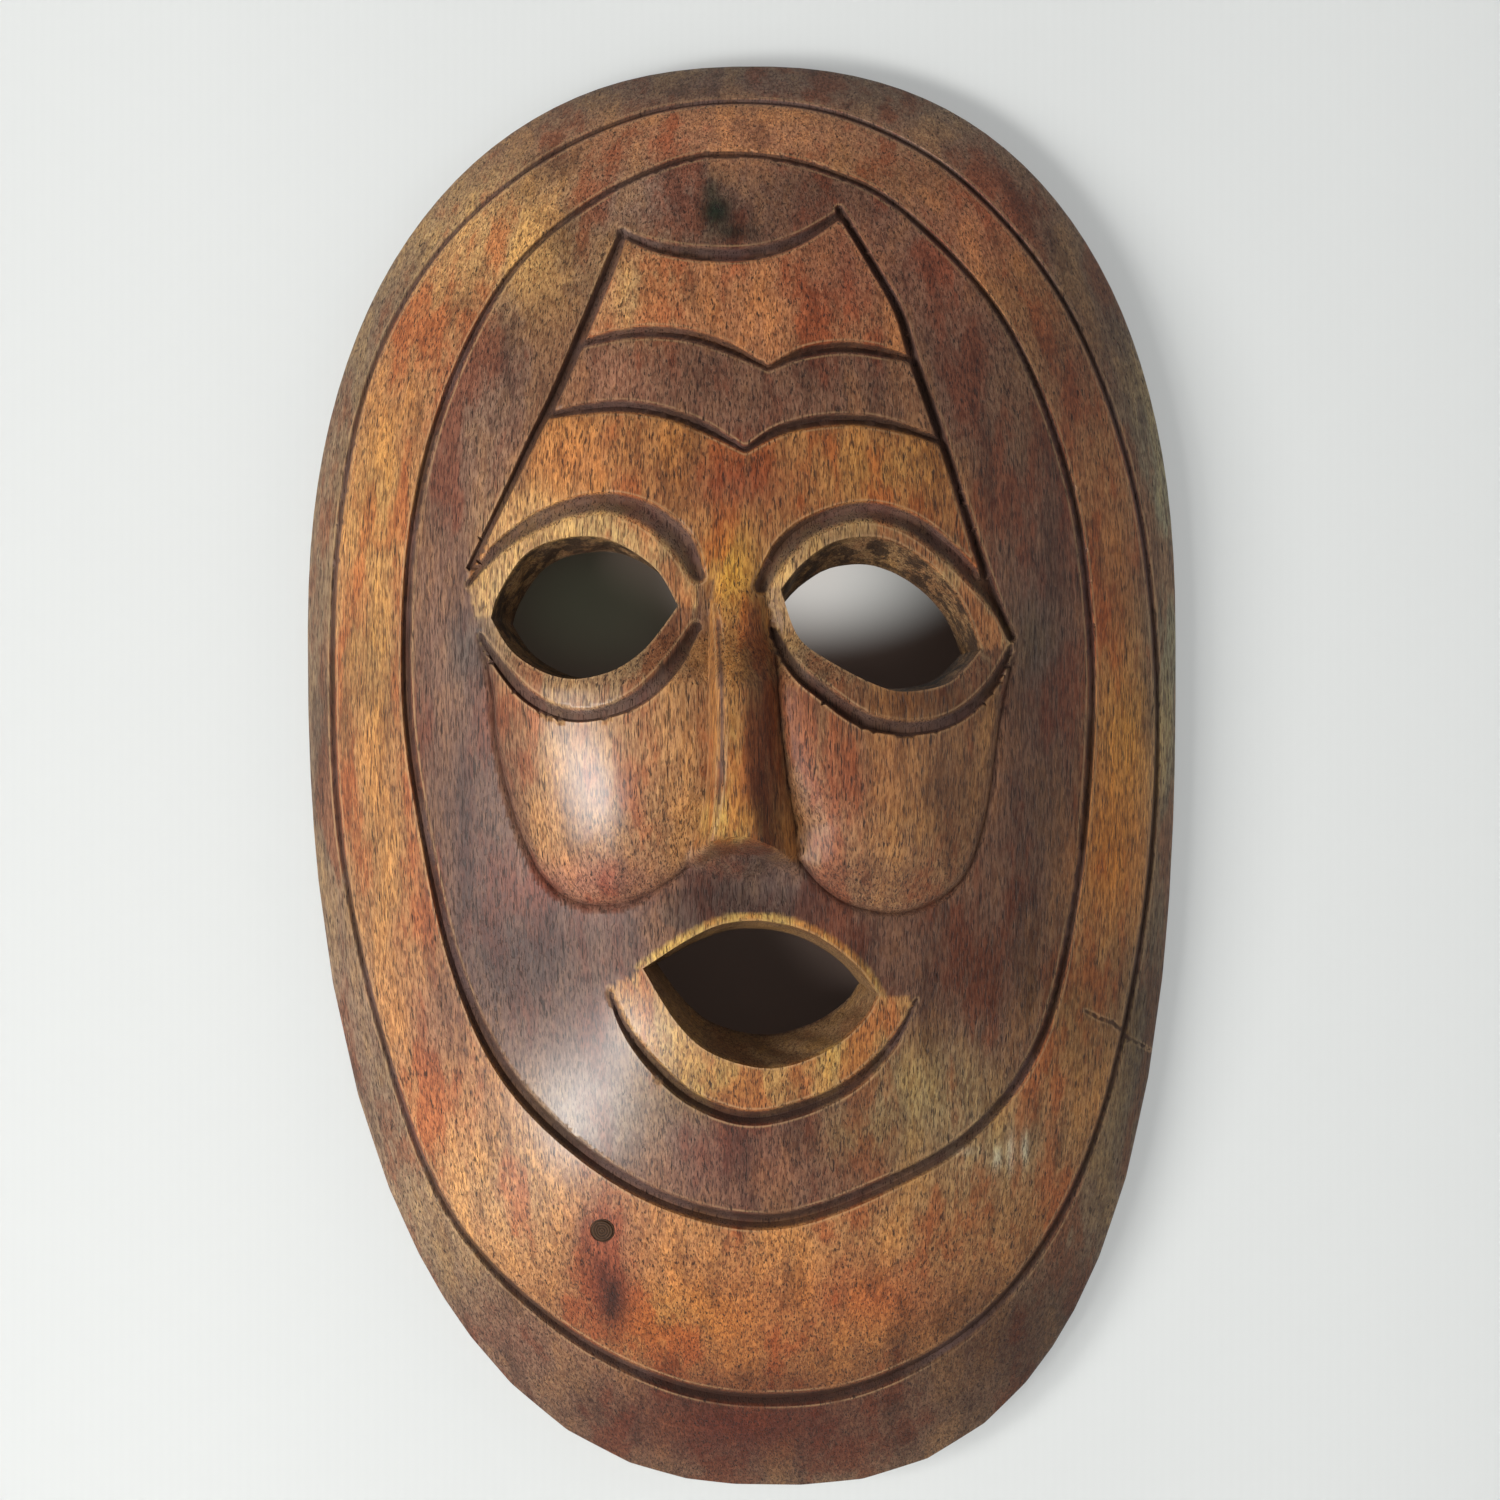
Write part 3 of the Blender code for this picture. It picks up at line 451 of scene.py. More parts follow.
def grooves(x, z):           # depth cut away, share of full depth, and signed distance to the nearest edge
    cut = np.zeros(x.shape)
    share = np.zeros(x.shape)
    edge = np.full(x.shape, 9.0)
    for name, line in carvedLines.items():
        path = linePaths[name]
        pick = near(x, z, path, 9.0)
        away, side, width, *_ = nearest(x[pick], z[pick], path)
        across = away * side / width
        low, high = line["floor"]
        here = np.clip(np.minimum((across + 1) / (low + 1), (1 - across) / (1 - high)), 0, 1)
        depth = line["depth"] * np.clip(width / max(point[2] for point in line["points"]), 0.35, 1)
        cut[pick] = np.maximum(cut[pick], here * depth)
        share[pick] = np.maximum(share[pick], here * line.get("darkening", 1.0))
        if line.get("darkening", 1.0) < 0.3:
            continue
        mine = away - width
        old = edge[pick]
        within = np.where(old < 0, np.maximum(old, mine), mine)
        beyond = np.where(old < 0, old, np.minimum(old, mine))
        edge[pick] = np.where(mine < 0, within, beyond)
    return cut, share, edge


def frontHeight(x, z):
    return faceHeight(x, z) - grooves(x, z)[0]


def scoops(x, z):            # gouge strokes in the hollow: shallow troughs side by side, ends staggered
    u = x / scoop["width"] + 0.35 * np.sin(z / 31.0) + 0.2 * np.sin(x / 23.0)
    row = np.floor(u)
    v = z / scoop["length"] + 0.37 * row + 0.3 * np.sin(row * 2.1)
    trough = 4 * (u - row - 0.5) ** 2
    end = (4 * (v - np.floor(v) - 0.5) ** 2) ** 2
    return scoop["across"] * trough + scoop["along"] * end


def backHeight(x, z):        # 0 on the rim, the hollow inside, the pocket for the hanger at the top
    share = np.minimum(ovalShare(block["hollow"], x, z), 1.0)
    depth = np.maximum(domeHeight(x, z) - block["wall"] - scoops(x, z), 0) * np.sqrt(1 - share ** 10)
    side, top = pocket["halfWidth"] + pocket["slope"], pocket["top"] + pocket["slope"]
    fromSide = np.minimum(side - np.abs(x), top - z)
    inPocket = np.clip(fromSide / pocket["slope"], 0, 1) * pocket["depth"] * (z > pocket["foot"])
    return np.maximum(depth, inPocket)


# ---- a surface over the plane: a grid drawn onto its crease lines, with quads split along them ----
def drawGrid(cell, lines, closedPaths, corners):
    low, high = outlinePath.min(0) - 2 * cell, outlinePath.max(0) + 2 * cell
    columns = int((high[0] - low[0]) / cell) + 1
    rows = int((high[1] - low[1]) / cell) + 1
    x = np.tile(low[0] + cell * np.arange(columns), rows)
    z = np.repeat(low[1] + cell * np.arange(rows), columns)
    free = np.ones(x.shape, bool)
    for corner in corners:
        drawCorner(x, z, free, corner)
    for path in closedPaths:
        drawTo(x, z, free, path, (0.0,), cell)
    for path, shares in lines:
        drawTo(x, z, free, path, shares, cell)
    return x, z, columns, rows


def drawTo(x, z, free, path, shares, cell):  # free points within half a cell move onto a line by the path
    pick = np.flatnonzero(near(x, z, path, 8.0) & free)
    away, side, width, footX, footZ, headX, headZ = nearest(x[pick], z[pick], path)
    along = np.abs((x[pick] - footX) * headX + (z[pick] - footZ) * headZ)   # large only beyond a path's ends
    signed = away * side
    for share in shares:
        if share and len(path[0]) < 3:
            continue
        offset = share * width
        moves = (np.abs(signed - offset) < 0.5 * cell) & free[pick] & (along < 0.2 * cell)
        if share:
            moves &= width > 0.8 * cell
        chosen = pick[moves]
        x[chosen] = (footX - headZ * offset)[moves]
        z[chosen] = (footZ + headX * offset)[moves]
        free[chosen] = False


def drawCorner(x, z, free, corner):           # the nearest point goes to a sharp corner
    closest = np.argmin((x - corner[0]) ** 2 + (z - corner[1]) ** 2 + 1e6 * ~free)
    x[closest], z[closest] = corner
    free[closest] = False


def splitQuads(x, z, columns, rows, height, closedPaths, keep):
    index = np.arange(columns * rows).reshape(rows, columns)
    a, b = index[:-1, :-1].ravel(), index[:-1, 1:].ravel()
    c, d = index[1:, 1:].ravel(), index[1:, :-1].ravel()
    wanted = keep[a] | keep[b] | keep[c] | keep[d]
    a, b, c, d = a[wanted], b[wanted], c[wanted], d[wanted]
    middleX = (x[a] + x[b] + x[c] + x[d]) / 4
    middleZ = (z[a] + z[b] + z[c] + z[d]) / 4

    def creased(px, pz, base):               # the height with a false crease along every outline
        total = base.copy()
        for path in closedPaths:
            pick = near(px, pz, path, 3.0)
            total[pick] += 0.8 * np.minimum(nearest(px[pick], pz[pick], path)[0], 3.0)
        return total

    corners = creased(x, z, height(x, z))
    middle = creased(middleX, middleZ, height(middleX, middleZ))
    first = np.abs((corners[a] + corners[c]) / 2 - middle) <= np.abs((corners[b] + corners[d]) / 2 - middle)
    one = np.where(first[:, None], np.column_stack([a, b, c]), np.column_stack([a, b, d]))
    two = np.where(first[:, None], np.column_stack([a, c, d]), np.column_stack([b, c, d]))
    return np.vstack([one, two])


def keepInside(x, z, triangles, outer, cutOuts):
    cx, cz = x[triangles].mean(1), z[triangles].mean(1)
    tx, tz = x[triangles], z[triangles]
    area = np.abs((tx[:, 1] - tx[:, 0]) * (tz[:, 2] - tz[:, 0])
                  - (tx[:, 2] - tx[:, 0]) * (tz[:, 1] - tz[:, 0]))
    stays = inside(cx, cz, outer)
    flat = area < 0.004
    toEdge = [nearest(cx[flat], cz[flat], path)[0] for path in [outer] + cutOuts]
    flat[flat] = np.minimum.reduce(toEdge) < 0.05
    stays[flat] = False                      # slivers lying along an outline
    for path in cutOuts:
        pick = np.flatnonzero(near(cx, cz, path, 1.0))
        stays[pick[inside(cx[pick], cz[pick], path)]] = False
    return triangles[stays]


def followers(triangles, count):              # of each point on an open edge: the next point along that edge
    ends = np.vstack([triangles[:, [0, 1]], triangles[:, [1, 2]], triangles[:, [2, 0]]])
    open_ = ~np.isin(ends[:, 0] * count + ends[:, 1], ends[:, 1] * count + ends[:, 0])
    after = np.full(count, -1)
    after[ends[open_, 0]] = ends[open_, 1]
    return after


def ringOrder(x, z, after, path):            # open edges beside a closed path in order, and the path's step
    counted = np.column_stack([path, np.arange(len(path))])
    edge = np.flatnonzero(after >= 0)
    away, _, step, *_ = nearest(x[edge], z[edge], counted)
    on = away < 0.2
    ring = edge[on][np.argmin(step[on])][None]
    jump = after
    while not np.any(ring[1:] == ring[0]):   # the chain doubles until it has come round
        ring = np.append(ring, jump[ring])
        jump = np.where(jump >= 0, jump[jump], -1)
    ring = ring[:1 + np.flatnonzero(ring[1:] == ring[0])[0]]
    step = nearest(x[ring], z[ring], counted)[2] % (len(path) - 1)
    if np.sum(np.diff(step) < 0) > len(step) / 2:
        ring, step = np.roll(ring[::-1], 1), np.roll(step[::-1], 1)
    return ring, np.maximum.accumulate(np.where(step < step[0], step[0], step))


def stitch(ringA, turnA, ringB, turnB):      # triangles between two rings of different counts
    order = np.argsort(np.concatenate([turnA, turnB]), kind="stable")
    isA = order < len(ringA)
    countA, countB = np.cumsum(isA), np.cumsum(~isA)
    nowA, nowB = ringA[(countA - 1) % len(ringA)], ringB[(countB - 1) % len(ringB)]
    pastA, pastB = ringA[(countA - 2) % len(ringA)], ringB[(countB - 2) % len(ringB)]
    stepA, stepB = np.column_stack([pastA, nowA, nowB]), np.column_stack([nowA, nowB, pastB])
    return np.where(isA[:, None], stepA, stepB)


def strip(ringA, ringB):                     # two triangles for each step between rings of equal counts
    nextA, nextB = np.roll(ringA, -1), np.roll(ringB, -1)
    return np.vstack([np.column_stack([ringA, nextA, nextB]), np.column_stack([ringA, nextB, ringB])])


def makeSurface(side, cell, margin, lines, edges, corners, height):
    x, z, columns, rows = drawGrid(cell, lines, edges, corners)
    keep = ovalShare(block["outline"], x, z) < margin
    triangles = splitQuads(x, z, columns, rows, height, edges, keep)
    triangles = keepInside(x, z, triangles, edges[0], edges[1:])
    used, flat = np.unique(triangles, return_inverse=True)
    triangles = flat.reshape(-1, 3)
    x, z = x[used], z[used]
    print(side, "surface", len(x), "points", len(triangles), "triangles")
    return np.column_stack([x, -height(x, z), z]), triangles, followers(triangles, len(x))


def makeFront():
    lines = [(linePaths[name], (*line["floor"], 1.0, -1.0)) for name, line in carvedLines.items()]
    span = slice(2, 7)                       # the rows where the nose stands clear of the brow and the lip
    for key in ("leftRidge", "rightRidge", "leftFoot", "rightFoot"):
        lines.append((np.column_stack([nose[key][span], np.array(nose["z"][span], float)]), (0.0,)))
    lines.append((np.column_stack([nose["tipX"][1:6], nose["tipZ"][1:6]]), (0.0,)))
    edges = [outlinePath] + [hole["path"] for hole in holes.values()] + [knotPath]
    corners = [hole["path"][corner] for hole in holes.values() for corner in hole["corners"]]
    return makeSurface("front", block["frontCell"], block["frontMargin"], lines, edges, corners, frontHeight)


def makeBack():
    def pocketPath(grow):
        side, top = pocket["halfWidth"] + grow, pocket["top"] + grow
        return np.array([(-side, pocket["foot"]), (-side, top), (side, top), (side, pocket["foot"])], float)

    lines = [(pocketPath(pocket["slope"]), (0.0,)), (pocketPath(0.0), (0.0,)), (hollowPath, (0.0,))]
    edges = [outlinePath] + [hole["backPath"] for hole in holes.values()]
    corners = [hole["backPath"][corner] for hole in holes.values() for corner in hole["corners"]]
    return makeSurface("back", block["backCell"], block["backMargin"], lines, edges, corners, backHeight)


def makeMask():
    front, triangles, after = makeFront()
    back, backTriangles, backAfter = makeBack()
    points = [front, back]
    faces = [triangles, backTriangles + len(front)]
    total = len(front) + len(back)

    def bridge(path, backPath, steps, shape):       # rows of points from the front ring to the back ring
        nonlocal total
        ring, turn = ringOrder(front[:, 0], front[:, 2], after, path)
        ringBack, turnBack = ringOrder(back[:, 0], back[:, 2], backAfter, backPath)
        start = front[ring]
        period = len(path) - 1
        ends = back[ringBack]
        goal = np.column_stack([np.interp(turn, turnBack, ends[:, k], period=period) for k in range(3)])
        previous = ring
        for row in range(1, steps):
            share = row / steps
            points.append(shape(start + (goal - start) * share, share))
            ids = total + np.arange(len(ring))
            total += len(ring)
            faces.append(strip(previous, ids))
            previous = ids
        faces.append(stitch(previous, turn, ringBack + len(front), turnBack))

    for hole in holes.values():
        def rough(p, share):                 # knife cuts across the wall
            wave = 0.35 * np.sin(p[:, 0] / 2.3 + p[:, 2] / 3.1 + 5 * share) * math.sin(math.pi * share)
            out = p - np.array([hole["middle"][0], 0, hole["middle"][1]])
            out[:, 1] = 0
            return p + out / np.linalg.norm(out, axis=1)[:, None] * wave[:, None]

        bridge(hole["path"], hole["backPath"], 9, rough)
    bridge(outlinePath, outlinePath, 5, lambda p, share: p)

    ring, turn = ringOrder(front[:, 0], front[:, 2], after, knotPath)
    bottom = front[ring] + knotInward() * (knot["length"] + knot["gap"])
    points.append(bottom)
    ids = total + np.arange(len(ring))
    total += len(ring)
    faces.append(strip(ring, ids))
    points.append(bottom.mean(0)[None])
    faces.append(np.column_stack([ids, np.roll(ids, -1), np.full(len(ids), total)]))
    return np.vstack(points), np.vstack(faces), len(front), len(back)


def knotInward():            # unit vector into the wood at the knot, square to the face
    step = 1.0
    x, z = np.array([knot["x"]]), np.array([knot["z"]])
    slopeX = (domeHeight(x + step, z) - domeHeight(x - step, z))[0] / 2
    slopeZ = (domeHeight(x, z + step) - domeHeight(x, z - step))[0] / 2
    outward = np.array([-slopeX, -1.0, -slopeZ])
    return -outward / np.linalg.norm(outward)


def addMesh(name, points, faces, smoothAngle=None):   # points in millimetres
    mesh = bpy.data.meshes.new(name)
    mesh.vertices.add(len(points))
    mesh.vertices.foreach_set("co", (points * mm).astype(np.float32).ravel())
    mesh.loops.add(faces.size)
    mesh.loops.foreach_set("vertex_index", faces.astype(np.int32).ravel())
    mesh.polygons.add(len(faces))
    mesh.polygons.foreach_set("loop_start", np.arange(0, faces.size, faces.shape[1], dtype=np.int32))
    mesh.update(calc_edges=True)
    mesh.validate()
    bm = bmesh.new()
    bm.from_mesh(mesh)
    bmesh.ops.recalc_face_normals(bm, faces=bm.faces)
    bm.to_mesh(mesh)
    openCount = sum(len(edge.link_faces) != 2 for edge in bm.edges)
    bm.free()
    if openCount:
        print(name, "has", openCount, "edges without two faces")
    mesh.shade_smooth()
    if smoothAngle:
        mesh.set_sharp_from_angle(angle=math.radians(smoothAngle))
    piece = bpy.data.objects.new(name, mesh)
    bpy.context.scene.collection.objects.link(piece)
    return piece


def setAttribute(piece, name, values):
    layer = piece.data.attributes.new(name, "FLOAT", "POINT")
    layer.data.foreach_set("value", np.asarray(values, np.float32))


# ---- colours over the wood, as linear reflectance at each point ----
wood = {
    "band": (0.19, 0.125, 0.08), "ring": (0.38, 0.17, 0.068), "ground": (0.15, 0.074, 0.05),
    "panelUpper": (0.4, 0.165, 0.076), "panelMiddle": (0.185, 0.09, 0.058),
    "panelLower": (0.34, 0.145, 0.052),
    "nose": (0.3, 0.13, 0.046), "lids": (0.47, 0.285, 0.125), "bags": (0.25, 0.15, 0.08),
    "cheeks": (0.33, 0.165, 0.076), "upperLip": (0.11, 0.064, 0.05), "lip": (0.4, 0.2, 0.075),
    "mouthRim": (0.48, 0.3, 0.09), "holeWall": (0.21, 0.12, 0.06), "hollow": (0.12, 0.075, 0.048),
    "rimEdge": (0.105, 0.062, 0.042),
}
# patches: x, z, half width, half height, colour, strength
patches = [
    # band
    # the second patch below, along the band's right side, is partly its stain and partly a painted grey
    # sheen of reflection
    (60, -10, 34, 12, (0.2, 0.15, 0.11), 0.8), (119, -140, 10, 70, (0.27, 0.24, 0.155), 0.9),
    (-3, -376, 60, 22, (0.085, 0.02, 0.013), 1), (70, -352, 36, 26, (0.08, 0.038, 0.024), 0.95),
    (-66, -352, 26, 20, (0.15, 0.07, 0.048), 0.8), (-112, -262, 12, 60, (0.2, 0.12, 0.085), 0.6),
    (-3, 4, 44, 8, (0.14, 0.086, 0.068), 0.9), (-66, -16, 30, 16, (0.17, 0.098, 0.066), 0.8),
    (112, -262, 12, 46, (0.11, 0.085, 0.055), 0.8),
    # ring
    (-3, -12, 50, 10, (0.48, 0.21, 0.116), 0.85), (-70, -40, 24, 22, (0.56, 0.33, 0.14), 0.8),
    (60, -38, 22, 20, (0.46, 0.17, 0.088), 0.85), (-106, -120, 10, 26, (0.42, 0.23, 0.075), 0.7),
    (-106, -160, 10, 22, (0.3, 0.165, 0.062), 0.7), (-104, -213, 11, 28, (0.39, 0.195, 0.072), 0.6),
    (-88, -262, 9, 16, (0.15, 0.075, 0.062), 0.6), (-70, -310, 22, 18, (0.47, 0.26, 0.12), 0.7),
    (92, -78, 12, 26, (0.19, 0.08, 0.045), 0.8), (103, -138, 9, 26, (0.27, 0.095, 0.036), 0.8),
    (106, -180, 9, 24, (0.48, 0.21, 0.045), 0.8), (102, -215, 10, 22, (0.54, 0.19, 0.034), 0.85),
    (93, -258, 14, 26, (0.25, 0.128, 0.052), 0.9), (58, -310, 28, 18, (0.27, 0.14, 0.06), 0.9),
    (70, -296, 20, 12, (0.3, 0.21, 0.115), 0.75), (-5, -344, 32, 16, (0.33, 0.11, 0.034), 0.8),
    (35, -338, 16, 9, (0.3, 0.07, 0.026), 0.6), (-30, -345, 16, 9, (0.42, 0.19, 0.05), 0.7),
    (-40, -337, 9, 15, (0.21, 0.06, 0.034), 0.8), (-38.5, -339, 4, 10, (0.05, 0.026, 0.02), 0.9),
    (-41, -318, 11, 11, (0.23, 0.08, 0.055), 0.6),
    # ground
    (-28, -30, 24, 12, (0.29, 0.17, 0.125), 0.8), (42, -42, 18, 20, (0.2, 0.11, 0.08), 0.7),
    (-9.6, -35, 4.2, 4.6, (0.016, 0.022, 0.014), 1), (-9.6, -35, 3.6, 4, (0.016, 0.022, 0.014), 1),
    (-5, -41, 7, 3, (0.04, 0.04, 0.028), 0.85), (-11, -28, 2.2, 4, (0.03, 0.034, 0.022), 0.8),
    (-72, -92, 14, 26, (0.25, 0.145, 0.1), 0.7), (-84, -150, 9, 22, (0.21, 0.105, 0.07), 0.7),
    (-78, -158, 6, 10, (0.065, 0.058, 0.052), 0.7), (-78, -205, 11, 28, (0.09, 0.04, 0.026), 0.85),
    (-66, -244, 16, 16, (0.066, 0.032, 0.024), 0.9), (76, -88, 12, 30, (0.17, 0.088, 0.05), 0.7),
    (79, -155, 8, 16, (0.06, 0.052, 0.045), 0.7), (80, -208, 12, 32, (0.085, 0.046, 0.032), 0.8),
    (62, -246, 16, 16, (0.1, 0.048, 0.03), 0.8), (-3, -298, 24, 12, (0.18, 0.074, 0.048), 0.8),
    (48, -280, 20, 14, (0.27, 0.185, 0.09), 0.9), (30, -292, 12, 8, (0.25, 0.15, 0.06), 0.5),
    (-45, -286, 22, 13, (0.23, 0.16, 0.12), 0.85),
    # panel
    (26, -52, 16, 16, (0.25, 0.092, 0.055), 0.8), (-30, -58, 10, 12, (0.52, 0.31, 0.14), 0.85),
    (-38, -83, 10, 8, (0.29, 0.132, 0.08), 0.8), (-46, -106, 16, 10, (0.44, 0.175, 0.066), 0.8),
    (-61, -123, 10, 9, (0.72, 0.41, 0.165), 0.9), (-4, -113, 16, 10, (0.23, 0.078, 0.04), 0.85),
    (36, -108, 16, 9, (0.37, 0.175, 0.052), 0.8), (54, -120, 10, 12, (0.3, 0.12, 0.04), 0.7),
    (-5, -136, 7, 11, (0.52, 0.26, 0.045), 0.9), (-4, -172, 4, 20, (0.3, 0.14, 0.046), 0.7),
    (-4, -204, 7.5, 5, (0.62, 0.43, 0.115), 0.95), (-4.5, -198, 2.4, 14, (0.48, 0.29, 0.085), 0.8),
    # this patch darkens the nose's right flank, the side turned from the lamps: painted shade
    (4.5, -184, 4.6, 30, (0.12, 0.05, 0.026), 0.85),
    # eyes
    (33, -129, 26, 6, (0.2, 0.115, 0.06), 0.9), (44, -172, 24, 8, (0.11, 0.04, 0.014), 0.9),
    (-44, -126, 20, 6, (0.44, 0.27, 0.115), 0.6), (58, -150, 8, 12, (0.15, 0.07, 0.04), 0.6),
    # cheeks
    (-50, -180, 14, 14, (0.4, 0.22, 0.105), 0.7), (-22, -186, 8, 20, (0.4, 0.195, 0.085), 0.8),
    (-42, -221, 20, 7, (0.31, 0.115, 0.078), 0.8), (30, -196, 20, 22, (0.24, 0.098, 0.05), 0.8),
    (56, -198, 10, 22, (0.15, 0.068, 0.036), 0.8), (38, -222, 18, 7, (0.2, 0.092, 0.046), 0.8),
    (42, -207, 12, 10, (0.29, 0.14, 0.058), 0.6), (-66, -190, 6, 24, (0.15, 0.07, 0.045), 0.7),
    (-1, -224, 24, 8, (0.075, 0.043, 0.036), 0.95), (-8, -277, 16, 7, (0.45, 0.27, 0.085), 0.8),
    (-24, -264, 8, 8, (0.52, 0.34, 0.15), 0.7), (25, -268, 10, 8, (0.46, 0.28, 0.086), 0.7),
    # scratches
    (69, -299, 1, 3, (0.6, 0.56, 0.42), 0.8), (73, -298, 0.9, 4.5, (0.6, 0.56, 0.42), 0.8),
    (77, -297, 0.9, 4, (0.6, 0.56, 0.42), 0.8), (60, -297, 3.5, 1, (0.5, 0.45, 0.32), 0.6),
]


def belongs(x, z, path):     # 1 within a closed path
    return inside(x, z, np.vstack([path[:, :2], path[:1, :2]]))


def woodTint(x, z):
    tint = np.tile(np.array(wood["band"]), (len(x), 1))
    around = (("panelTop", 1), ("panelRight", 1), ("lidRight", -1), ("lidLeft", -1), ("panelLeft", -1))
    panel = np.vstack([linePaths[name][::turn] for name, turn in around])
    browUpper = np.vstack([linePaths["browUpperLeft"], linePaths["browUpperRight"]])
    browLower = np.vstack([linePaths["browLowerLeft"], linePaths["browLowerRight"]])
    inPanel = belongs(x, z, panel)
    overUpper = z > np.interp(x, browUpper[:, 0], browUpper[:, 1])
    overLower = z > np.interp(x, browLower[:, 0], browLower[:, 1])
    flank = noseShape(x, z)[0]
    mouthBox = belongs(x, z, np.vstack([linePaths["lip"][:, :2], holes["mouth"]["above"][::-1]]))
    zones = [
        ("ring", belongs(x, z, linePaths["outerRing"])),
        ("ground", belongs(x, z, linePaths["innerRing"])),
        ("panelLower", inPanel), ("panelMiddle", inPanel & overLower), ("panelUpper", inPanel & overUpper),
        ("upperLip", swell(x, z, -2, -229, 26, 9, 1.0) > 0.45),
        ("nose", (flank > 0.02) & (z < -128) & (z > np.interp(x, nose["tipX"], nose["tipZ"]) - 0.8)),
        ("lip", mouthBox),
    ]
    for side in ("Left", "Right"):
        ringed = belongs(x, z, np.vstack([linePaths["lid" + side], linePaths["bag" + side][::-1]]))
        eye = holes["eye" + side]
        left, right = eye["path"][eye["corners"][0]], eye["path"][eye["corners"][1]]
        over = z > np.interp(x, [left[0], right[0]], [left[1], right[1]])
        zones.append(("bags", ringed & ~over))
        zones.append(("lids", ringed & over))
    for name, where in zones:
        tint[where] = wood[name]
        if name == "ground":
            tint += (np.array(wood["cheeks"]) - tint) * np.clip(cheekRise(x, z) * 5, 0, 1)[:, None]
    for px, pz, wide, tall, colour, strength in patches:
        share = swell(x, z, px, pz, wide, tall, strength)[:, None]
        tint = tint + (np.array(colour) - tint) * share
    tipZ = np.interp(x, nose["tipX"], nose["tipZ"])
    under = np.clip((tipZ - 0.4 - z) / 1.6, 0, 1) * swell(x, z, 0, -215, 15, 7, 1.0)
    tint += (np.array(wood["upperLip"]) * 0.8 - tint) * under[:, None]
    mouth = nearest(x, z, holes["mouth"]["path"])[0]
    upper = np.clip((z + 256) / 8, 0, 1) * (z > np.interp(x, [-30, 36], [-245, -253]))
    rim = np.clip(2.4 - mouth, 0, 1) * upper
    tint += (np.array(wood["mouthRim"]) - tint) * rim[:, None]
    return tint


# waxed spots of the face: x, z, half width, half height, share of full gloss
waxed = [
    (-42, -194, 15, 27, 0.62), (-42, -288, 27, 20, 1.1), (-26, -264, 14, 12, 0.9),
    (42, -206, 16, 22, 0.5), (-70, -312, 24, 14, 0.4),
]


def paintMask(piece, points, frontCount, backCount):
    x, z = points[:, 0], points[:, 2]
    fx, fz = x[:frontCount], z[:frontCount]
    count = len(points)
    number = np.arange(count)
    front = number < frontCount
    walls = number >= frontCount + backCount
    rim = (ovalShare(block["outline"], x, z) > 0.98) & walls
    tint = np.tile(np.array(wood["holeWall"]), (count, 1))
    tint[:frontCount] = woodTint(fx, fz)
    tint[~front & ~walls] = wood["hollow"]
    tint[rim] = wood["rimEdge"]
    layer = piece.data.attributes.new("tint", "FLOAT_COLOR", "POINT")
    layer.data.foreach_set("color", np.column_stack([tint, np.ones(count)]).astype(np.float32).ravel())
    share, edge = np.zeros(count), np.full(count, 9.0)
    share[:frontCount], edge[:frontCount] = grooves(fx, fz)[1:]
    for hole in holes.values():
        toHole = nearest(fx, fz, hole["path"])[0] + 0.1
        edge[:frontCount] = np.minimum(edge[:frontCount], toHole)
    setAttribute(piece, "cut", share)
    setAttribute(piece, "edge", edge)
    setAttribute(piece, "carved", front)
    polish = sum(swell(x, z, *spot) for spot in waxed)
    gloss = (0.05 + np.minimum(polish, 0.95)) * (1 - np.clip(3 * share, 0, 1))
    setAttribute(piece, "wax", np.where(front, gloss, 0.0))
    setAttribute(piece, "wall", walls & ~rim & (z > -200))


# noises of the wood: stretch, scale, detail, roughness
noises = {
    "grain": ((1, 1, 0.05), 520, 4, 0.68), "blotch": ((1, 1, 0.3), 62, 6, 0.66),
    "other": ((1, 1, 0.22), 85, 6, 0.7, (3, 1, 2)), "speck": ((1, 1, 0.18), 1400, 3, 0.7),
    "pores": ((1, 1, 0.12), 2600, 1, 0.4), "holes": ((1, 1, 0.09), 1500, 2, 0.5),
    "charred": ((1, 1, 0.5), 210, 5, 0.7),
}
# factors on the tint, then colours laid over it
stains = {
    "fleckDark": (0.7, 0.62, 0.58), "fleckPale": (1.3, 1.36, 1.28), "red": (0.95, 0.56, 0.46),
    "pale": (1.38, 1.3, 1.02), "grey": (0.38, 0.33, 0.37), "worn": (0.5, 0.31, 0.15),
    "cutDark": (0.04, 0.021, 0.016), "cutPale": (0.085, 0.052, 0.048), "pores": (0.03, 0.016, 0.012),
    "charred": (0.03, 0.019, 0.014),
}


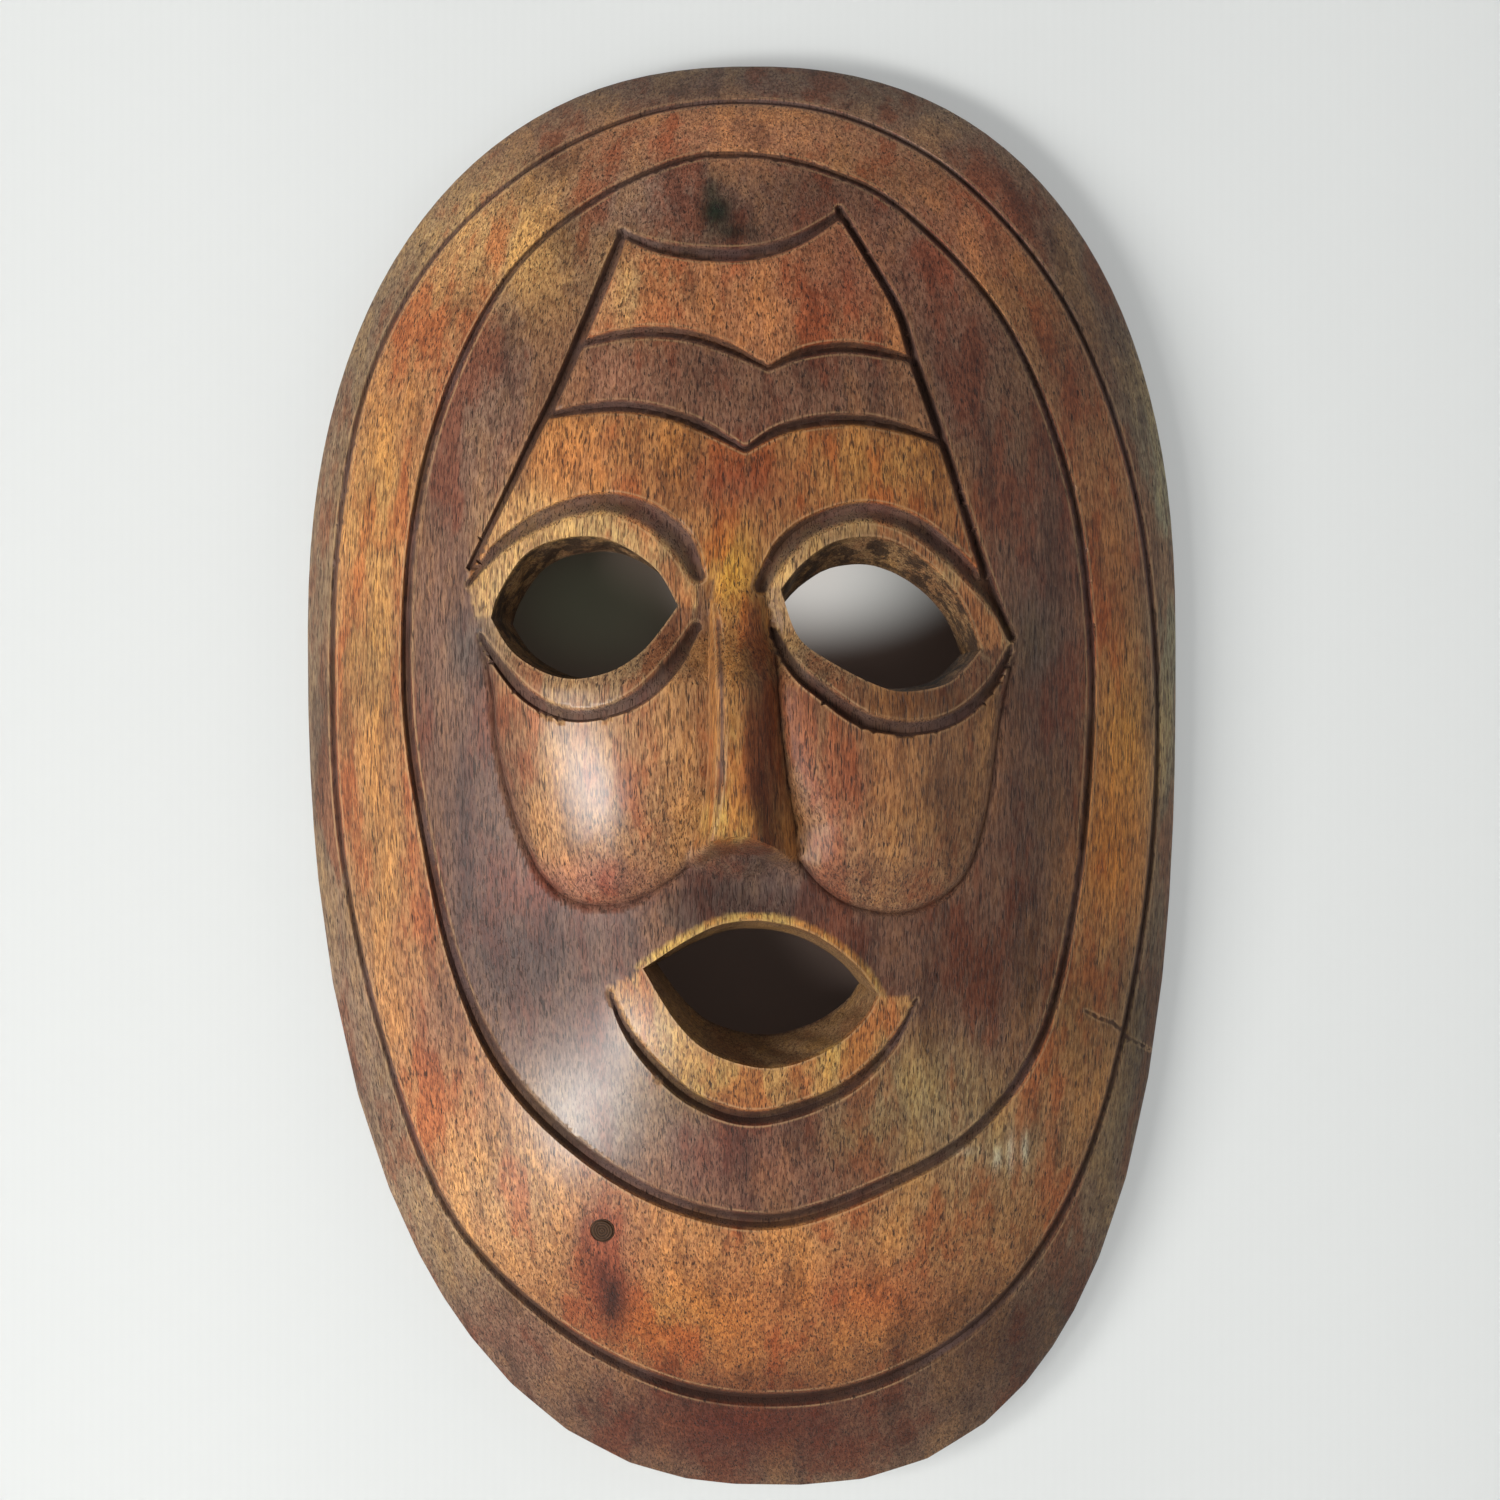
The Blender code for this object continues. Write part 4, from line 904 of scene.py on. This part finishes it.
def woodFinish(name):
    finish, place, shader = newFinish(name)
    tint = place.attribute("tint", "Color")
    cut, edge, carved = (place.attribute(key) for key in ("cut", "edge", "carved"))
    wander = place.vectors("ADD", place.noise(place, 9, 1).spread(0.01), place)
    grain, blotch, other = (place.grained(wander, *noises[key]) for key in ("grain", "blotch", "other"))
    cloud = place.noise(place, 26, 4, 0.6)
    speck = place.grained(place, *noises["speck"])
    pores = place.grained(place, *noises["pores"]).step(0.57, 0.66)
    few = place.grained(place, *noises["holes"]).step(0.62, 0.7)
    tone = 0.3 + 0.9 * grain + 0.5 * cloud
    colour = place.mix(1.0, tint, place.grey(tone), "MULTIPLY")
    fleck = place.mix(speck.step(0.36, 0.64), stains["fleckDark"], stains["fleckPale"])
    colour = place.mix(1.0, colour, fleck, "MULTIPLY")
    mostlyFront = 0.35 + 0.65 * carved
    colour = place.mix(0.8 * blotch.step(0.49, 0.61) * mostlyFront, colour, stains["red"], "MULTIPLY")
    colour = place.mix(0.8 * (1 - blotch.step(0.38, 0.51)), colour, stains["pale"], "MULTIPLY")
    colour = place.mix(0.6 * other.step(0.52, 0.64) * mostlyFront, colour, stains["grey"], "MULTIPLY")
    beside = edge.step(0.0, 0.25) * (1 - edge.step(0.25, 0.9))
    worn = beside * carved * (0.25 + 0.9 * blotch.step(0.4, 0.6))
    colour = place.mix((0.45 * worn).least(0.7), colour, stains["worn"])
    dark = cut.step(0.0, 0.5) * (0.8 + 0.7 * (speck - 0.5))
    floor = place.mix(cloud.step(0.42, 0.6), stains["cutDark"], stains["cutPale"])
    colour = place.mix(dark.least(0.94), colour, floor)
    colour = place.mix((0.62 * pores + 0.8 * few).least(0.9), colour, stains["pores"])
    charred = place.grained(place, *noises["charred"]).step(0.44, 0.56)
    colour = place.mix(place.attribute("wall") * charred * 0.85, colour, stains["charred"])
    rough = 0.4 + 0.2 * speck + 0.16 * (blotch - 0.5) + 0.3 * cut + 0.1 * few
    height = grain * 0.7 + speck * 0.45 - pores * 0.6 - few + place.noise(place, 260, 2) * 0.9
    connect(place, shader, {
        "Base Color": colour, "Roughness": rough, "Normal": place.bump(height, 0.0003, 0.7),
        "Specular IOR Level": 0.22, "Coat Weight": place.attribute("wax"), "Coat Roughness": 0.25})
    return finish


print("building the mask")
maskPoints, maskFaces, frontCount, backCount = makeMask()
mask = addMesh("mask", maskPoints, maskFaces, 50)
paintMask(mask, maskPoints, frontCount, backCount)
mask.data.materials.append(woodFinish("carved wood"))
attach(mask, "mask")
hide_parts("mask_body")


# ---- the knot: a tapering plug with a slightly domed, split face ----
def makeKnot():
    turns, rings, dome = 48, 26, 0.3
    inward = knotInward()
    top = np.array([knot["x"], -faceHeight(np.array([knot["x"]]), np.array([knot["z"]]))[0], knot["z"]])
    side = np.cross(inward, [0, 0, 1.0])
    side /= np.linalg.norm(side)
    up = np.cross(side, inward)
    share = np.concatenate([np.linspace(0.06, 1, rings), np.full(8, 1.0)])
    sink = np.concatenate([np.zeros(rings), np.linspace(0.05, 1, 8)])
    angle = np.arange(turns) * math.tau / turns
    taper, uneven = 1 - 0.06 * sink[:, None], (1 + 0.025 * np.sin(3 * angle + 1))[None]
    radius = knot["radius"] * share[:, None] * taper * uneven
    bevel = 0.55 * np.clip(share - 0.82, 0, 1)[:, None] / 0.18
    split = 0.25 * np.exp(-(((angle[None] - 2.1) / 0.22) ** 2)) * share[:, None]
    depth = -(dome - bevel - split) + sink[:, None] * (knot["length"] - dome)
    turned = np.cos(angle)[None, :, None] * side + np.sin(angle)[None, :, None] * up
    points = (top + radius[..., None] * turned + depth[..., None] * inward).reshape(-1, 3)
    points = np.vstack([points, top - dome * inward, top + knot["length"] * inward])
    ids = np.arange(len(share) * turns).reshape(-1, turns)
    across = [strip(ids[k], ids[k + 1]) for k in range(len(share) - 1)]
    first = np.column_stack([np.roll(ids[0], -1), ids[0], np.full(turns, ids.size)])
    last = np.column_stack([ids[-1], np.roll(ids[-1], -1), np.full(turns, ids.size + 1)])
    return points, np.vstack(across + [first, last])


def knotFinish():
    finish, place, shader = newFinish("knot wood")
    centred = place.vectors("SUBTRACT", place, (knot["x"] * mm, -0.03, knot["z"] * mm))
    values = {"Vector": centred, "Scale": 420.0, "Distortion": 3.0, "Detail": 2.0, "Detail Scale": 1.5}
    rings = place.node("ShaderNodeTexWave", values, {"wave_type": "RINGS", "rings_direction": "Y"}, 1)
    fleck = place.noise(place, 1400, 3, 0.6)
    colour = place.mix(0.4 * rings + 0.4 * fleck, (0.02, 0.012, 0.008), (0.11, 0.055, 0.028))
    connect(place, shader, {
        "Base Color": colour, "Roughness": 0.65, "Specular IOR Level": 0.15,
        "Normal": place.bump(rings + fleck, 0.0002, 0.8)})
    return finish


knotPiece = addMesh("knot", *makeKnot(), 50)
knotPiece.data.materials.append(knotFinish())
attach(knotPiece, "mask")
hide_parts("knot_plug")
print("knot done")


# ---- the ring: round wire along a closed path, a straight hinge bar and a round bend ----
ring = {"wire": 1.0, "length": 13.5, "bend": 7.0, "corner": 1.8, "hingeY": -2.5, "hingeZ": -12.5}


def makeRing():
    edge = ring["bend"] - ring["corner"]
    corner = np.radians(np.linspace(90, 0, 12))
    bend = np.radians(np.linspace(0, -180, 90)[1:-1])
    middle = ring["bend"] - ring["length"]
    right = np.column_stack([edge + ring["corner"] * np.cos(corner), ring["corner"] * (np.sin(corner) - 1)])
    foot = np.column_stack([ring["bend"] * np.cos(bend), middle + ring["bend"] * np.sin(bend)])
    left = right[::-1] * [-1, 1]
    bar = np.column_stack([np.linspace(-edge, edge, 14)[1:-1], np.zeros(12)])
    path = np.vstack([right, foot, left, bar])
    along = np.roll(path, -1, 0) - np.roll(path, 1, 0)
    along /= np.linalg.norm(along, axis=1)[:, None]
    turns = 24
    angle = np.arange(turns) * math.tau / turns
    out = np.column_stack([along[:, 1], np.zeros(len(path)), -along[:, 0]])
    centre = np.column_stack([path[:, 0], np.full(len(path), ring["hingeY"]), path[:, 1] + ring["hingeZ"]])
    beside = np.cos(angle)[None, :, None] * out[:, None]
    across = np.sin(angle)[None, :, None] * np.array([0, 1.0, 0])
    points = (centre[:, None] + ring["wire"] * (beside + across)).reshape(-1, 3)
    ids = np.arange(len(points)).reshape(-1, turns)
    return points, np.vstack([strip(ids[k - 1], ids[k]) for k in range(len(ids))])


def steelFinish(name, colour, rough):
    finish, place, shader = newFinish(name)
    cloud = place.noise(place, 260, 4, 0.6)
    fine = place.noise(place, 1800, 2, 0.5)
    tarnish = cloud.step(0.50, 0.72)
    shade = place.mix(0.55 * tarnish, colour, (0.16, 0.13, 0.1))
    dull = rough + 0.25 * tarnish + 0.1 * (fine - 0.5)
    connect(place, shader, {
        "Base Color": shade, "Metallic": 1.0, "Roughness": dull,
        "Normal": place.bump(cloud + 0.3 * fine, 0.00008, 0.5)})
    return finish


ringPiece = addMesh("ring", *makeRing(), 60)
ringPiece.data.materials.append(steelFinish("ring steel", (0.56, 0.55, 0.52), 0.28))
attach(ringPiece, "ring")
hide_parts("hanger_ring")
screwLook = ("screw steel", (0.46, 0.45, 0.42), 0.32)
cadLooks = {
    "hanger_plate": ("zinc steel", (0.5, 0.5, 0.48), 0.36),
    "hanger_screw_left": screwLook, "hanger_screw_right": screwLook,
}
for nodeName, look in cadLooks.items():      # the pieces kept from the CAD
    materials = bpy.data.objects[nodeName].data.materials
    materials.clear()
    materials.append(steelFinish(*look))
print("hanger done")


# ---- stage: a pale wall close behind, glowing with painted light and holding painted shade behind the mask, a pale floor, soft studio light ----
def stagePlane(name, corners, finish):
    mesh = bpy.data.meshes.new(name)
    mesh.from_pydata(corners, [], [(0, 1, 2, 3)])
    plane = bpy.data.objects.new(name, mesh)
    bpy.context.scene.collection.objects.link(plane)
    mesh.materials.append(finish)


wallLook = {
    # the wall's glow outside the mask is painted light that lightens the mask's cast shadow on it
    "ribs": ((0.422, 0.432, 0.425), (0.428, 0.438, 0.431)), "paintedLight": (0.32, 0.327, 0.324),
    "hidden": (0.35, 0.25, 0.21), "hiddenGlow": (0.011, 0.0075, 0.006),       # painted shade and a faint painted glow on the wall behind the mask, seen through its holes
    "middle": 0.185, "halfWidth": 0.125, "halfHeight": 0.204,                 # of the oval the mask hides
    "patches": [((0.019, -0.1335), (0.044, 0.0235), (0.42, 0.435, 0.42)),     # middle, half sizes, glow: painted light on the wall, seen through the eye holes
                ((-0.043, -0.143), (0.034, 0.024), (0.024, 0.026, 0.017))],
}


# seen and lit from the front only; open to rays that come from behind
def wallFinish():
    def awayFrom(x, z, halfWidth, halfHeight):       # 0 at the middle of an oval, 1 on it
        moved = place.vectors("SUBTRACT", place, (x, 0.0, z))
        sized = place.vectors("MULTIPLY", moved, (1 / halfWidth, 0.0, 1 / halfHeight))
        return place.vectors("LENGTH", sized, output=1)

    finish, place, shader = newFinish("wall")
    tree = place.tree
    values = {"Vector": place, "Scale": 110.0, "Distortion": 0.0}
    ribs = place.node("ShaderNodeTexWave", values, {"wave_type": "BANDS", "bands_direction": "X"}, 1)
    oval = awayFrom(0.0, -wallLook["middle"], wallLook["halfWidth"], wallLook["halfHeight"])
    outside = oval.step(0.88, 1.0)
    colour = place.mix(ribs, *wallLook["ribs"])
    # painted shade: behind the mask the wall is dark brown, like the shaded hollow seen through the holes
    colour = place.mix(outside, wallLook["hidden"], colour)
    # painted light: the wall glows outside the mask, which lightens its cast shadow; behind the mask it
    # glows only faintly
    paintedLight = place.mix(outside, wallLook["hiddenGlow"], wallLook["paintedLight"])
    # painted light: glowing spots on the wall behind the eye holes
    for middle, half, light in wallLook["patches"]:
        paintedLight = place.mix((1 - awayFrom(*middle, *half).step(0.15, 1.15)) * (1 - outside), paintedLight, light)
    connect(place, shader, {
        "Base Color": colour, "Roughness": 0.9, "Emission Color": paintedLight, "Emission Strength": 1.0})
    behind = place.node("ShaderNodeNewGeometry", output=6)
    through = place.node("ShaderNodeLightPath", output=12)
    clear = place.node("ShaderNodeBsdfTransparent")
    isOpen = behind.most(through.maths("GREATER_THAN", through, 0.5))
    blend = place.node("ShaderNodeMixShader", {0: isOpen, 2: clear})
    tree.links.new(shader.outputs[0], blend.socket.node.inputs[1])
    tree.links.new(blend.socket, tree.nodes["Material Output"].inputs["Surface"])
    return finish


def plainFinish(name, rgb):
    finish, place, shader = newFinish(name)
    shade = place.mix(place.noise(place, 3, 2), tuple(0.98 * part for part in rgb), rgb)
    connect(place, shader, {"Base Color": shade, "Roughness": 0.8})
    return finish


wallAway, floorLevel = 0.0004, -1.1
wallCorners = [(x, wallAway, z) for x, z in ((-4, floorLevel), (4, floorLevel), (4, 3), (-4, 3))]
floorCorners = [(x, y, floorLevel) for x, y in ((-6, -6), (6, -6), (6, 6), (-6, 6))]
stagePlane("wall", wallCorners, wallFinish())
stagePlane("floor", floorCorners, plainFinish("floor", (0.78, 0.785, 0.78)))

# lamps: place, size, power, colour; all aimed at the middle of the mask
lamps = {
    "key": ((-1.54, -1.32, -0.48), 0.65, 29, (1, 0.99, 0.97)),
    "second key": ((-1.05, -1.60, -0.85), 0.55, 14.5, (1, 0.99, 0.97)),
    "fill": ((1.9, -1.1, 0.5), 1.6, 7, (0.97, 0.98, 1)),
    "rear": ((-1.2, 1.6, 0.7), 1.0, 70, (1, 1, 1)),
}
lampTarget = Vector((0, 0, -0.19))


def areaLight(name, place, size, power, colour):
    data = bpy.data.lights.new(name, "AREA")
    data.shape = "RECTANGLE"
    data.size = size
    data.size_y = size
    data.energy = power
    data.color = colour
    lamp = bpy.data.objects.new(name, data)
    lamp.location = place
    lamp.rotation_euler = (lampTarget - Vector(place)).to_track_quat("-Z", "Y").to_euler()
    bpy.context.scene.collection.objects.link(lamp)


for name, lamp in lamps.items():
    areaLight(name, *lamp)
world = bpy.data.worlds.new("world")
world.use_nodes = True
sky = world.node_tree.nodes["Background"].inputs
sky["Color"].default_value = (0.95, 0.97, 1.0, 1)
sky["Strength"].default_value = 0.17
bpy.context.scene.world = world
